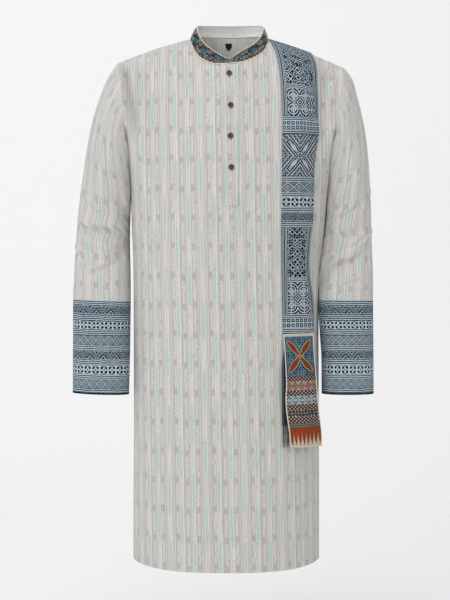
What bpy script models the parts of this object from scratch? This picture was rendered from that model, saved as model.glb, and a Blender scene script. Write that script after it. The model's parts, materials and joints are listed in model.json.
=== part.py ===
"""Kurta tunic, filled out with no wearer inside.

Metres, +Z up, the front faces -Y, the wearer's left is +X.  The origin is
midway between the two points where the shoulder seams meet the neck.
Every piece is a closed wall worked out from rows of named sizes.
"""
import math

import bpy
import numpy as np

# ----------------------------------------------------------------- dimensions
CLOTH = 0.0012          # wall of the main cloth
BAND = 0.0020           # two-layer band: collar
FOLDED = 0.0016         # folded strip: placket
SEAM = 0.0005           # gap between pieces that a seam joins
VENT_GAP = 0.0024       # gap of the open side vents
VENT_TOP = -0.86        # height where the side vents end
WAIST = -0.40           # above it each column of the body bends to the shoulder
HEM_SIDE = -1.070       # hem height at the side seams
HEM_DIP = 0.007         # how much lower the hem is at the middle of the panel
SLIT_FOOT = -0.338      # lowest point of the neck slit behind the placket

# body, outer face: height, right side X, left side X, front Y, back Y, corner power
BODY = np.array([
    (-0.235, -0.2060, 0.2060, -0.124, 0.114, 2.20),
    (-0.300, -0.2026, 0.2030, -0.127, 0.118, 2.20),
    (-0.360, -0.2010, 0.2000, -0.128, 0.119, 2.22),
    (-0.400, -0.2000, 0.1962, -0.128, 0.119, 2.25),
    (-0.450, -0.1978, 0.1902, -0.127, 0.118, 2.28),
    (-0.500, -0.1970, 0.1868, -0.127, 0.118, 2.30),
    (-0.560, -0.1968, 0.1853, -0.127, 0.118, 2.30),
    (-0.700, -0.1968, 0.1858, -0.129, 0.120, 2.30),
    (-0.850, -0.1975, 0.1868, -0.131, 0.122, 2.30),
    (-0.950, -0.1985, 0.1872, -0.132, 0.124, 2.30),
    (-1.090, -0.1987, 0.1874, -0.133, 0.125, 2.30)])

# front seam under the drape: height, X of the seam
FRONT_SEAM = np.array([(-1.090, 0.1075), (-0.830, 0.1070), (-0.600, 0.1055), (-0.400, 0.1022)])

# where a column stands on the waist ring, as a share of the half-width, at s = 0, 1, .. 5
COLUMN_SHARE = (-1.0, -0.83, -0.52, 0.5243, 0.83, 1.0)

# neck seam and collar top edge: base X, Y, Z, then top X, Y, Z, from the front
# middle round the wearer's right side and the back to the left side
COLLAR = np.array([
    (0.0000, -0.0822, -0.0646, 0.0000, -0.0690, -0.0512),
    (-0.0320, -0.0780, -0.0630, -0.0225, -0.0575, -0.0395),
    (-0.0542, -0.0620, -0.0503, -0.0410, -0.0440, -0.0250),
    (-0.0702, -0.0350, -0.0306, -0.0561, -0.0220, -0.0065),
    (-0.0785, -0.0030, -0.0045, -0.0655, 0.0060, 0.0193),
    (-0.0700, 0.0300, 0.0045, -0.0640, 0.0300, 0.0300),
    (-0.0480, 0.0540, 0.0080, -0.0480, 0.0490, 0.0350),
    (-0.0240, 0.0645, 0.0085, -0.0240, 0.0570, 0.0366),
    (0.0000, 0.0670, 0.0085, 0.0000, 0.0595, 0.0368),
    (0.0240, 0.0645, 0.0085, 0.0240, 0.0570, 0.0366),
    (0.0480, 0.0540, 0.0080, 0.0500, 0.0490, 0.0352),
    (0.0705, 0.0300, 0.0045, 0.0690, 0.0300, 0.0300),
    (0.0795, -0.0060, -0.0060, 0.0700, 0.0050, 0.0165),
    (0.0688, -0.0450, -0.0361, 0.0563, -0.0250, -0.0105),
    (0.0516, -0.0660, -0.0503, 0.0400, -0.0440, -0.0245),
    (0.0295, -0.0780, -0.0603, 0.0220, -0.0570, -0.0365)])
COLLAR_END = 0.0016     # share of the loop left open at each end of the band
COLLAR_LIFT = 0.0015    # the band starts this far above the neck edge
NOTCH = 0.30            # how much of the band's height the rounded corner takes

# sleeves, outer face: outer X, Z, inner X, Z, middle Y, half depth in Y
SLEEVE_RIGHT = np.array([
    (-0.2267, -0.0519, -0.2091, -0.2351, 0.000, 0.0740),
    (-0.2422, -0.0737, -0.2105, -0.2434, 0.000, 0.0740),
    (-0.2575, -0.0993, -0.2115, -0.2538, 0.000, 0.0735),
    (-0.2706, -0.1324, -0.2120, -0.2650, 0.002, 0.0725),
    (-0.2839, -0.1769, -0.2116, -0.2790, 0.003, 0.0700),
    (-0.2940, -0.2245, -0.2104, -0.2991, 0.004, 0.0660),
    (-0.3022, -0.2762, -0.2086, -0.3260, 0.005, 0.0610),
    (-0.3091, -0.3343, -0.2070, -0.3612, 0.006, 0.0560),
    (-0.3141, -0.3924, -0.2057, -0.4007, 0.004, 0.0500),
    (-0.3177, -0.4525, -0.2038, -0.4545, -0.004, 0.0450),
    (-0.3196, -0.5039, -0.2024, -0.5019, -0.013, 0.0410),
    (-0.3203, -0.5367, -0.2021, -0.5408, -0.019, 0.0385),
    (-0.3196, -0.6323, -0.2026, -0.6344, -0.032, 0.0350),
    (-0.3189, -0.7260, -0.2041, -0.7295, -0.045, 0.0330)])
SLEEVE_LEFT = np.array([
    (0.2349, -0.0623, 0.2120, -0.2351, 0.000, 0.0740),
    (0.2515, -0.0840, 0.2132, -0.2434, 0.000, 0.0740),
    (0.2622, -0.1130, 0.2137, -0.2538, 0.000, 0.0735),
    (0.2730, -0.1521, 0.2136, -0.2650, 0.002, 0.0725),
    (0.2814, -0.1914, 0.2128, -0.2790, 0.003, 0.0700),
    (0.2875, -0.2348, 0.2112, -0.2991, 0.004, 0.0660),
    (0.2916, -0.2825, 0.2092, -0.3260, 0.005, 0.0610),
    (0.2946, -0.3343, 0.2062, -0.3612, 0.006, 0.0560),
    (0.2962, -0.3924, 0.2021, -0.3986, 0.004, 0.0500),
    (0.2966, -0.4525, 0.1962, -0.4525, -0.004, 0.0450),
    (0.2964, -0.5039, 0.1912, -0.5019, -0.013, 0.0410),
    (0.2959, -0.5387, 0.1896, -0.5377, -0.019, 0.0385),
    (0.2955, -0.6323, 0.1892, -0.6323, -0.032, 0.0350),
    (0.2950, -0.7281, 0.1889, -0.7281, -0.045, 0.0330)])
SLEEVE_POWER = 2.15
CUFF_ROW = 11.0         # table row where the cuff band starts
SLEEVE_WAIST = {"right": 0.0052, "left": 0.0022}   # how far the armhole bends in at its middle

# creases of the sleeves: turn and height of one end, of the other, width, height of the ridge
CREASES = {
    "right": [(0.40, -0.372, 0.12, -0.398, 0.011, 0.0042), (0.36, -0.414, 0.17, -0.434, 0.010, 0.0034),
              (0.14, -0.345, 0.05, -0.372, 0.016, -0.0040), (0.42, -0.395, 0.20, -0.410, 0.010, -0.0030),
              (0.05, -0.420, 0.22, -0.470, 0.014, -0.0026), (0.30, -0.235, 0.12, -0.300, 0.020, 0.0026),
              (0.36, -0.150, 0.22, -0.250, 0.018, -0.0024), (0.60, -0.380, 0.88, -0.402, 0.013, 0.0036),
              (0.64, -0.425, 0.86, -0.446, 0.012, -0.0030), (0.70, -0.240, 0.88, -0.310, 0.020, -0.0030),
              (0.58, -0.480, 0.80, -0.505, 0.016, 0.0026)],
    "left": [(0.05, -0.474, 0.40, -0.412, 0.011, 0.0050), (0.07, -0.500, 0.30, -0.452, 0.015, -0.0045),
             (0.12, -0.430, 0.34, -0.388, 0.012, -0.0030), (0.10, -0.330, 0.30, -0.300, 0.016, 0.0028),
             (0.36, -0.160, 0.22, -0.260, 0.018, -0.0026), (0.14, -0.240, 0.20, -0.330, 0.018, -0.0030),
             (0.62, -0.392, 0.90, -0.372, 0.013, 0.0036), (0.60, -0.436, 0.86, -0.412, 0.012, -0.0030),
             (0.66, -0.250, 0.86, -0.330, 0.020, 0.0030), (0.90, -0.450, 0.70, -0.500, 0.016, 0.0024)]}
# soft folds of the body: X and Z of one end, of the other, width, height
FRONT_FOLDS = [(-0.190, -0.170, -0.165, -0.250, 0.016, 0.0030), (-0.172, -0.150, -0.150, -0.300, 0.018, -0.0022),
               (-0.080, -0.980, -0.072, -0.560, 0.024, 0.0022), (0.045, -1.060, 0.050, -0.640, 0.026, 0.0024),
               (-0.150, -1.060, -0.146, -0.700, 0.022, -0.0020), (0.160, -1.060, 0.150, -0.860, 0.016, -0.0022),
               (0.188, -0.200, 0.165, -0.330, 0.018, 0.0026), (-0.020, -1.060, -0.010, -0.760, 0.022, -0.0018),
               (-0.120, -0.420, -0.060, -0.520, 0.030, 0.0014), (0.010, -0.420, 0.060, -0.480, 0.028, -0.0014)]
BACK_FOLDS = [(-0.175, -0.160, -0.130, -0.300, 0.020, 0.0032), (0.178, -0.170, 0.140, -0.300, 0.020, 0.0030),
              (-0.110, -1.060, -0.100, -0.600, 0.026, 0.0026), (0.020, -1.060, 0.010, -0.480, 0.028, -0.0026),
              (0.120, -1.060, 0.112, -0.640, 0.024, 0.0028), (-0.040, -1.060, -0.030, -0.760, 0.022, 0.0020),
              (-0.060, -0.110, 0.060, -0.112, 0.018, -0.0016)]


# ----------------------------------------------------------------- curves
def spline(xs, ys, x):
    """Cubic through the points (xs, ys), xs rising, read at x and held at the ends."""
    xs, ys = np.asarray(xs, float), np.asarray(ys, float)
    slope = np.gradient(ys, xs)
    x = np.clip(np.asarray(x, float), xs[0], xs[-1])
    i = np.clip(np.searchsorted(xs, x, side="right") - 1, 0, len(xs) - 2)
    h = xs[i + 1] - xs[i]
    t = (x - xs[i]) / h
    return ((1 + 2 * t) * (1 - t) ** 2 * ys[i] + t * (1 - t) ** 2 * h * slope[i]
            + t * t * (3 - 2 * t) * ys[i + 1] + t * t * (t - 1) * h * slope[i + 1])


def unit(v):
    return v / np.maximum(np.linalg.norm(v, axis=-1, keepdims=True), 1e-12)


def signed_power(v, p):
    return np.sign(v) * np.abs(v) ** p


def ridge(a, b, folds):
    """Height of the named folds at the flat place (a, b)."""
    height = np.zeros(np.broadcast(a, b).shape)
    for a0, b0, a1, b1, width, rise in folds:
        da, db = a1 - a0, b1 - b0
        along = ((a - a0) * da + (b - b0) * db) / (da * da + db * db)
        inside = np.clip(along, 0, 1)
        far = (a - a0 - inside * da) ** 2 + (b - b0 - inside * db) ** 2
        height = height + rise * np.exp(-far / (width * width)) * (1 - 0.35 * (2 * inside - 1) ** 2)
    return height


# ----------------------------------------------------------------- neck and collar
def neck_loop(t, top=False):
    """Neck seam (or the collar's top edge) at the share t of the way round."""
    base = COLLAR[:, :3]
    ring = np.vstack([base, base[:1]])
    far = np.concatenate([[0], np.cumsum(np.linalg.norm(np.diff(ring, axis=0), axis=1))])
    far = far / far[-1]
    pts = COLLAR[:, 3:] if top else base
    n = len(pts)
    xs = np.concatenate([far[n - 3:n] - 1, far[:n], far[n] + far[:4]])
    idx = [n - 3, n - 2, n - 1] + list(range(n)) + [0, 1, 2, 3]
    return np.stack([spline(xs, pts[idx, c], t) for c in range(3)], axis=-1)


def neck_share(side):
    """Share of the loop where the neck meets the shoulder seam, at Y = 0."""
    t = np.linspace(0.12, 0.45, 1200) if side == "right" else np.linspace(0.55, 0.88, 1200)
    return float(t[np.argmin(np.abs(neck_loop(t)[:, 1]))])


NECK_RIGHT, NECK_LEFT = neck_share("right"), neck_share("left")


# ----------------------------------------------------------------- sleeves
def sleeve_point(side, turn, k):
    """Outer face of a sleeve; turn 0 is at the armpit, 0.25 in front, 0.5 outside."""
    rows = SLEEVE_RIGHT if side == "right" else SLEEVE_LEFT
    num = np.arange(len(rows))
    ox, oz, ix, iz, my, deep = (spline(num, rows[:, c], k) for c in range(6))
    c = signed_power(np.cos(2 * np.pi * turn), 2 / SLEEVE_POWER)
    s = signed_power(np.sin(2 * np.pi * turn), 2 / SLEEVE_POWER)
    x = (ox + ix) / 2 - (ox - ix) / 2 * c
    z = (oz + iz) / 2 - (oz - iz) / 2 * c
    bend = SLEEVE_WAIST[side] * np.sin(2 * np.pi * turn) ** 2 * np.exp(-np.asarray(k) ** 2 / 3.0)
    x = x + (bend if side == "right" else -bend)
    return np.stack(np.broadcast_arrays(x, my - deep * s, z), axis=-1)


def sleeve_normal(side, turn, k):
    e, f = 1e-4, 1e-3
    du = sleeve_point(side, turn + e, k) - sleeve_point(side, turn - e, k)
    top = len(SLEEVE_RIGHT) - 1
    dv = sleeve_point(side, turn, np.minimum(k + f, top)) - sleeve_point(side, turn, np.maximum(k - f, 0))
    n = unit(np.cross(du, dv))
    return n if side == "right" else -n


def sleeve_face(side, turn, k):
    """Outer face with its creases, and the outward direction there."""
    turn, k = np.broadcast_arrays(np.asarray(turn, float), np.asarray(k, float))
    p, n = sleeve_point(side, turn, k), sleeve_normal(side, turn, k)
    rows = SLEEVE_RIGHT if side == "right" else SLEEVE_LEFT
    mid = spline(np.arange(len(rows)), (rows[:, 1] + rows[:, 3]) / 2, k)
    flat = [(a0 * 0.36, b0, a1 * 0.36, b1, w, h) for a0, b0, a1, b1, w, h in CREASES[side]]
    fade = np.clip(k / 1.5, 0, 1) * np.clip((CUFF_ROW - k) / 0.8, 0, 1)
    high = ridge(np.mod(turn, 1.0) * 0.36, mid, flat) * fade
    return p + n * high[..., None], n


def sleeve_axis(side, k):
    """Direction across the ring, pointing down the sleeve."""
    k = np.asarray(k, float)
    across = sleeve_point(side, 0.5, k) - sleeve_point(side, 0.0, k)
    axis = unit(np.cross(across, np.array([0.0, 1.0, 0.0])))
    return axis if side == "right" else -axis


# ----------------------------------------------------------------- body panels
# direction in which a column reaches its top edge, and how far it pulls: s, X, Y, Z, pull
ARRIVE = np.array([
    (0.00, -0.12, 0.00, 1.00, 0.90), (0.25, -0.25, -0.10, 0.95, 0.80), (0.50, -0.50, 0.00, 0.85, 0.60),
    (0.80, -0.72, 0.42, 0.45, 0.46), (1.00, -0.62, 0.76, 0.10, 0.50), (1.25, -0.30, 0.95, 0.10, 0.72),
    (1.50, -0.05, 1.00, 0.12, 0.90), (2.00, 0.25, 0.88, 0.40, 0.90), (2.20, 0.20, 0.66, 0.70, 0.90),
    (2.50, 0.00, 0.45, 0.90, 0.90),
    (2.80, -0.20, 0.66, 0.70, 0.90), (3.00, -0.25, 0.88, 0.40, 0.90), (3.50, 0.05, 1.00, 0.12, 0.90),
    (3.75, 0.30, 0.95, 0.10, 0.72), (4.00, 0.62, 0.76, 0.10, 0.50), (4.20, 0.72, 0.42, 0.45, 0.46),
    (4.50, 0.50, 0.00, 0.85, 0.60), (4.75, 0.25, -0.10, 0.95, 0.80), (5.00, 0.12, 0.00, 1.00, 0.90)])
# the same for the back, with Y turned over
ARRIVE_BACK = ARRIVE.copy()
ARRIVE_BACK[:, 2] *= -1
for at, row in ((7, (2.00, 0.14, -0.93, 0.30, 0.90)), (8, (2.20, 0.10, -0.74, 0.62, 0.90)),
                (9, (2.50, 0.00, -0.42, 0.91, 0.90)), (10, (2.80, -0.10, -0.74, 0.62, 0.90)),
                (11, (3.00, -0.14, -0.93, 0.30, 0.90))):
    ARRIVE_BACK[at] = row


def waist_ring(front, s, z):
    """Plain ring of the body at height z; s is 0 at the right side seam, 5 at the left."""
    s, z = np.broadcast_arrays(np.asarray(s, float), np.asarray(z, float))
    order = np.argsort(BODY[:, 0])
    right, left, yf, yb, power = (spline(BODY[order, 0], BODY[order, c], z) for c in range(1, 6))
    mid, half = (left + right) / 2, (left - right) / 2
    share = [np.full(z.shape, q) for q in COLUMN_SHARE]
    seam_x = spline(FRONT_SEAM[:, 0], FRONT_SEAM[:, 1], np.minimum(z, WAIST))
    share[3] = (seam_x - mid) / half
    keys = np.stack([np.arccos(-signed_power(np.clip(q, -1, 1), power / 2)) for q in share])
    i = np.clip(np.floor(s).astype(int), 0, 4)
    f = s - i
    phi = (np.take_along_axis(keys, i[None], 0)[0] * (1 - f)
           + np.take_along_axis(keys, i[None] + 1, 0)[0] * f)
    x = mid - half * signed_power(np.cos(phi), 2 / power)
    deep = yf if front else yb
    return np.stack([x, deep * np.abs(np.sin(phi)) ** (2 / power), z], axis=-1)


def top_place(front, v):
    """One point of a body panel's top edge: armhole, shoulder seam, neck, and back down."""
    if v <= 1 or v >= 4:
        side = "right" if v <= 1 else "left"
        turn = 0.5 * (v if v <= 1 else 5 - v)
        p = sleeve_point(side, turn if front else 1 - turn, 0.0)
        return p - sleeve_axis(side, 0.0) * SEAM * 0.6
    if v < 2 or v > 3:
        side = "right" if v < 2 else "left"
        f = v - 1 if v < 2 else 4 - v
        corner = sleeve_point(side, 0.5, 0.0) - sleeve_axis(side, 0.0) * SEAM * 0.6
        high = neck_loop(NECK_RIGHT if v < 2 else NECK_LEFT)
        return corner * (1 - f) + high * f + np.array([0, 0, 0.0035 * math.sin(math.pi * f)])
    if front:
        return neck_loop(NECK_RIGHT * (2.5 - v) * 2 if v <= 2.5 else 1 - (1 - NECK_LEFT) * (v - 2.5) * 2)
    return neck_loop(NECK_RIGHT + (NECK_LEFT - NECK_RIGHT) * (v - 2))


TOP_S = np.linspace(0, 5, 1001)
TOPS = {front: np.array([top_place(front, v) for v in TOP_S]) for front in (True, False)}


def eased(table):
    """The top edge with its corners rounded off, which the panel follows away from the edge."""
    reach = np.linspace(-0.42, 0.42, 43)
    weight = np.exp(-(reach / 0.16) ** 2)
    out = table.copy()
    for i, s in enumerate(TOP_S):
        near = s + reach * min(1.0, s / 0.6, (5 - s) / 0.6)
        out[i] = [np.average(np.interp(near, TOP_S, table[:, c]), weights=weight) for c in range(3)]
    return out


SOFT_TOPS = {front: eased(table) for front, table in TOPS.items()}


def panel_top(front, s, soft=False):
    """Top edge of a body panel at s."""
    table = SOFT_TOPS[front] if soft else TOPS[front]
    return np.stack([np.interp(s, TOP_S, table[:, c]) for c in range(3)], axis=-1)


def panel_point(front, s, r):
    """Outer face of a body panel; r is -1 at the hem, 0 at the waist ring, 1 at the top."""
    s, r = np.broadcast_arrays(np.asarray(s, float), np.asarray(r, float))
    reach = (WAIST - HEM_SIDE) + HEM_DIP * np.sin(np.pi * s / 5)
    low = waist_ring(front, s, WAIST + np.minimum(r, 0) * reach)
    start = waist_ring(front, s, np.full(s.shape, WAIST))
    lean = (waist_ring(front, s, np.full(s.shape, WAIST + 0.01))
            - waist_ring(front, s, np.full(s.shape, WAIST - 0.01))) / 0.02
    end = panel_top(front, s, soft=True)
    rest = panel_top(front, s) - end
    table = ARRIVE if front else ARRIVE_BACK
    turn = np.stack([spline(table[:, 0], table[:, c], s) for c in (1, 2, 3)], axis=-1)
    dist = np.linalg.norm(end - start, axis=-1, keepdims=True)
    m0, m1 = lean * dist, unit(turn) * dist * spline(table[:, 0], table[:, 4], s)[..., None]
    v = np.clip(r, 0, 1)[..., None]
    high = ((1 + 2 * v) * (1 - v) ** 2 * start + v * (1 - v) ** 2 * m0
            + v * v * (3 - 2 * v) * end + v * v * (v - 1) * m1 + rest * v ** 7)
    return np.where((r > 0)[..., None], high, low)


def panel_face(front, s, r):
    """Outer face with its soft folds, and the outward direction there."""
    s, r = np.broadcast_arrays(np.asarray(s, float), np.asarray(r, float))
    p = panel_point(front, s, r)
    e = 2e-3
    du = panel_point(front, np.minimum(s + e, 5), r) - panel_point(front, np.maximum(s - e, 0), r)
    dv = panel_point(front, s, np.minimum(r + e, 1)) - panel_point(front, s, np.maximum(r - e, -1))
    n = unit(np.cross(du, dv))
    if not front:
        n = -n
    seam = (s < 1e-6) | (s > 5 - 1e-6) | ((r > 1 - 1e-6) & (((s > 0.999) & (s < 2)) | ((s > 3) & (s < 4.001))))
    n = unit(np.where(seam[..., None], n * np.array([1.0, 0.0, 1.0]), n))
    for side, near in (("right", s < 1.001), ("left", s > 3.999)):
        axis = sleeve_axis(side, 0.0)
        back = np.minimum((n * axis).sum(-1, keepdims=True), 0) * axis
        n = np.where((near & (r > 1 - 1e-6))[..., None], unit(n - back), n)
    edge = np.clip(np.minimum(s, 5 - s) / 0.5, 0, 1) * np.clip((1 - r) / 0.25, 0, 1)
    high = ridge(p[..., 0], p[..., 2], FRONT_FOLDS if front else BACK_FOLDS) * edge
    return p + n * high[..., None], n


def on_front(xs, r):
    """Front face at given X in the row r: points and outward directions."""
    s = np.linspace(1.0, 4.6, 181)
    p, n = panel_face(True, s[None], np.array([[r]]))
    p, n = p[0], n[0]
    order = np.argsort(p[:, 0])
    f = [np.interp(xs, p[order, 0], s[order])][0]
    q, m = panel_face(True, np.asarray(f)[None], np.array([[r]]))
    return q[0], m[0]


def row_at(front, s, z):
    """Row r where the column s is at height z."""
    r = np.concatenate([np.linspace(-1, 0, 60), np.linspace(0, 1, 160)[1:]])
    h = panel_point(front, np.full(r.shape, float(s)), r)[:, 2]
    return float(np.interp(z, h, r))


# ----------------------------------------------------------------- solids
COLOURS = {
    "cloth": (0.55, 0.50, 0.47), "indigo": (0.045, 0.085, 0.13), "deep": (0.02, 0.03, 0.05),
    "cream": (0.75, 0.70, 0.58), "collar": (0.16, 0.14, 0.13), "button": (0.05, 0.03, 0.02),
    "rust": (0.35, 0.12, 0.05), "black": (0.01, 0.01, 0.012)}


def add_solid(name, verts, tris, colour):
    """Add one closed body, turned so that its faces look out."""
    verts, tris = np.asarray(verts, float), np.asarray(tris, int)
    used, tris = np.unique(tris, return_inverse=True)
    verts, tris = verts[used], tris.reshape(-1, 3)
    a, b, c = verts[tris[:, 0]], verts[tris[:, 1]], verts[tris[:, 2]]
    if np.einsum("ij,ij->i", a, np.cross(b, c)).sum() < 0:
        tris = tris[:, ::-1]
    mesh = bpy.data.meshes.new(name)
    mesh.from_pydata(verts.tolist(), [], tris.tolist())
    mesh.update()
    mat = bpy.data.materials.new(name + "_" + colour)
    mat.use_nodes = True
    shader = mat.node_tree.nodes["Principled BSDF"]
    shader.inputs["Base Color"].default_value = COLOURS[colour] + (1.0,)
    shader.inputs["Roughness"].default_value = 0.8
    mesh.materials.append(mat)
    obj = bpy.data.objects.new(name, mesh)
    bpy.context.scene.collection.objects.link(obj)
    return obj


def wall(name, outer, inner, colour, wrap=False, keep=None):
    """Closed wall between two grids of points; keep masks the grid's cells."""
    rows, cols = outer.shape[:2]
    n = rows * cols
    tris, edges = [], {}
    for i in range(rows - 1):
        for j in range(cols if wrap else cols - 1):
            if keep is not None and not keep[i, j]:
                continue
            k = (j + 1) % cols
            q = [i * cols + j, i * cols + k, (i + 1) * cols + k, (i + 1) * cols + j]
            tris += [(q[0], q[1], q[2]), (q[0], q[2], q[3])]
            tris += [(q[2] + n, q[1] + n, q[0] + n), (q[3] + n, q[2] + n, q[0] + n)]
            for a, b in ((q[0], q[1]), (q[1], q[2]), (q[2], q[3]), (q[3], q[0])):
                key = (min(a, b), max(a, b))
                if key in edges:
                    del edges[key]
                else:
                    edges[key] = (a, b)
    for a, b in edges.values():
        tris += [(b, a, a + n), (b, a + n, b + n)]
    verts = np.vstack([outer.reshape(-1, 3), inner.reshape(-1, 3)])
    return add_solid(name, verts, tris, colour)


# ----------------------------------------------------------------- body
FRONT_COLUMNS = [0, 0.10, 0.22, 0.36, 0.50, 0.64, 0.78, 0.90, 1.0, 1.25, 1.5, 1.75, 2.0, 2.08, 2.16,
                 2.24, 2.31, 2.38, 2.45, 2.507, 2.521, 2.56, 2.61, 2.67, 2.74, 2.81, 2.875, 2.94, 3.0, 3.25,
                 3.5, 3.75, 4.0, 4.10, 4.22, 4.36, 4.50, 4.64, 4.78, 4.90, 5.0]
BACK_COLUMNS = [0, 0.12, 0.26, 0.42, 0.58, 0.74, 0.88, 1.0, 1.3, 1.65, 2.0, 2.1, 2.2, 2.32, 2.41, 2.5,
                2.59, 2.68, 2.8, 2.9, 3.0, 3.35, 3.7, 4.0, 4.12, 4.26, 4.42, 4.58, 4.74, 4.88, 5.0]
FRONT_ROWS = [-1.0, -0.93, -0.86, -0.78, -0.686, -0.58, -0.48, -0.38, -0.28, -0.19, -0.10, 0.0, 0.08,
              0.16, 0.24, 0.33, 0.42, 0.51, 0.60, 0.68, 0.76, 0.83, 0.89, 0.95, 1.0]
BACK_ROWS = [-1.0, -0.90, -0.80, -0.686, -0.56, -0.43, -0.30, -0.15, 0.0, 0.12, 0.24, 0.36, 0.48,
             0.60, 0.70, 0.79, 0.86, 0.91, 0.955, 1.0]


def panel_grid(front, s, r):
    """Outer and inner points of a panel; the side seams open into vents low down."""
    p, n = panel_face(front, np.asarray(s)[None], np.asarray(r)[:, None])
    p = p.copy()
    sign = -1.0 if front else 1.0
    s2, r2 = np.broadcast_arrays(np.asarray(s)[None], np.asarray(r)[:, None])
    low = np.clip((VENT_TOP - p[..., 2]) / 0.03, 0, 1)
    gap = (SEAM + (VENT_GAP - SEAM) * low) / 2
    at_side = (s2 < 1e-6) | (s2 > 5 - 1e-6)
    at_top = (r2 > 1 - 1e-6) & (s2 > 0.999) & (s2 < 4.001)
    shoulder = at_top & ((s2 <= 2 + 1e-6) | (s2 >= 3 - 1e-6))
    p[..., 1] = np.where(at_side | shoulder, sign * gap, p[..., 1])
    inner = p - n * CLOTH
    inner[..., 1] = np.where(at_side | shoulder, sign * gap, inner[..., 1])
    return p, inner


def front_panels():
    cols = np.array(FRONT_COLUMNS)
    seam = int(np.argmin(np.abs(cols - 3.0)))
    shift = 0.006
    main, side = cols[:seam + 1].copy(), cols[seam:].copy()
    main[-1] -= shift
    side[0] += shift
    outer, inner = panel_grid(True, main, FRONT_ROWS)
    keep = np.ones((len(FRONT_ROWS) - 1, len(main) - 1), bool)
    slit = int(np.argmin(np.abs(main - 2.507)))
    keep[outer[:-1, slit, 2] > SLIT_FOOT, slit] = False
    wall("front_main", outer, inner, "cloth", keep=keep)
    outer, inner = panel_grid(True, side, FRONT_ROWS)
    wall("front_side", outer, inner, "cloth")


def back_panel():
    outer, inner = panel_grid(False, BACK_COLUMNS, BACK_ROWS)
    wall("back", outer, inner, "cloth")


# ----------------------------------------------------------------- sleeves and cuffs
AROUND = 22
SLEEVE_ROWS = [0.0, 0.45, 1.0, 2.0, 3.0, 4.0, 5.0, 6.0, 6.7, 7.3, 7.8, 8.2, 8.6, 9.0, 9.4, 9.8, 10.3, 11.0]
CUFF_ROWS = [11.0, 11.5, 12.0, 12.5, 13.0]


def tube(name, side, rows, colour, cloth, lift=0.0):
    turn = np.arange(AROUND) / AROUND
    rows = np.array(rows, float)
    p, n = sleeve_face(side, turn[None], rows[:, None])
    ends = (0, len(rows) - 1)
    for i in ends:
        axis = sleeve_axis(side, rows[i])
        n[i] = unit(n[i] - (n[i] @ axis)[:, None] * axis)
        p[i] += axis * SEAM * (0.6 if i == 0 else -0.6)
    p = p + n * lift
    wall(name, p, p - n * cloth, colour, wrap=True)


def sleeves():
    for side in ("right", "left"):
        tube("sleeve_" + side, side, SLEEVE_ROWS, "cloth", CLOTH)
        tube("cuff_" + side, side, CUFF_ROWS, "indigo", 0.0018)


# ----------------------------------------------------------------- collar
PIPING_R = 0.0010


def collar_shares(count):
    ends = 0.5 - 0.5 * np.cos(np.linspace(0, math.pi, count))
    even = np.linspace(0, 1, count)
    return COLLAR_END + (1 - 2 * COLLAR_END) * (0.35 * ends + 0.65 * even)


def collar_face(t, v):
    """Outer face of the band: v is 0 at the neck seam, 1 under the piping."""
    base, top = neck_loop(t), neck_loop(t, True)
    up = unit(top - base)
    high = np.linalg.norm(top - base, axis=-1, keepdims=True)
    end = np.minimum(t, 1 - t) / 0.030
    corner = 1 - 0.16 * np.clip(1 - end, 0, 1)[..., None] ** 2
    reach = COLLAR_LIFT + (high * corner - COLLAR_LIFT - 2.4 * PIPING_R) * np.asarray(v)[..., None]
    along = unit(neck_loop(np.clip(t + 1e-3, 0, 1)) - neck_loop(np.clip(t - 1e-3, 0, 1)))
    out = unit(np.cross(up, along))
    mid = neck_loop(np.array(0.25)) + neck_loop(np.array(0.75))
    out = np.where(((base - mid / 2) * out).sum(-1, keepdims=True) < 0, -out, out)
    bow = 0.0016 * np.sin(np.pi * np.asarray(v))[..., None]
    return base + up * reach + out * bow, out, up


def collar():
    t = collar_shares(44)
    v = np.linspace(0, 1, 4)
    outer, out, up = collar_face(*np.broadcast_arrays(t[None], v[:, None]))
    wall("collar", outer, outer - out * BAND, "collar")
    edge, out, up = collar_face(t, np.ones(t.shape))
    centre = edge - out * BAND / 2 + up * (PIPING_R + 0.00035)
    a = 2 * math.pi * np.arange(5) / 5
    ring = (centre[:, None] + PIPING_R * (np.cos(a)[None, :, None] * out[:, None]
                                          + np.sin(a)[None, :, None] * up[:, None]))
    n = len(t)
    verts = np.vstack([ring.reshape(-1, 3), centre[:1], centre[-1:]])
    tris = []
    for i in range(n - 1):
        for j in range(5):
            k = (j + 1) % 5
            tris += [(i * 5 + j, i * 5 + k, (i + 1) * 5 + k), (i * 5 + j, (i + 1) * 5 + k, (i + 1) * 5 + j)]
    for j in range(5):
        k = (j + 1) % 5
        tris += [(n * 5, k, j), (n * 5 + 1, (n - 1) * 5 + j, (n - 1) * 5 + k)]
    add_solid("collar_piping", verts, tris, "cream")


# ----------------------------------------------------------------- placket, buttons, tab
# height, X of the free edge, X of the sewn edge
PLACKET = np.array([(-0.352, -0.0093, 0.0179), (-0.286, -0.0105, 0.0180), (-0.184, -0.0137, 0.0182),
                    (-0.122, -0.0157, 0.0184), (-0.060, -0.0168, 0.0184)])
PLACKET_FOOT = -0.3492
BUTTONS = ((0.0001, -0.0862), (0.0030, -0.1507), (0.0024, -0.2118), (0.0042, -0.2736))
BUTTON_R, BUTTON_HIGH = 0.0056, 0.0024
LIE = 0.0004            # how far a piece lies above the cloth under it


def strip(rows, left, right, count, low, high):
    """Two grids lying low and high above the front, between two X tables by height."""
    a, b = [], []
    for r in rows:
        mid, _ = on_front(np.array([(left(-0.2) + right(-0.2)) / 2]), r)
        z = mid[0, 2]
        xs = np.linspace(left(z), right(z), count)
        p, n = on_front(xs, r)
        a.append(p + n * low)
        b.append(p + n * high)
    return np.array(b), np.array(a)


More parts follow.
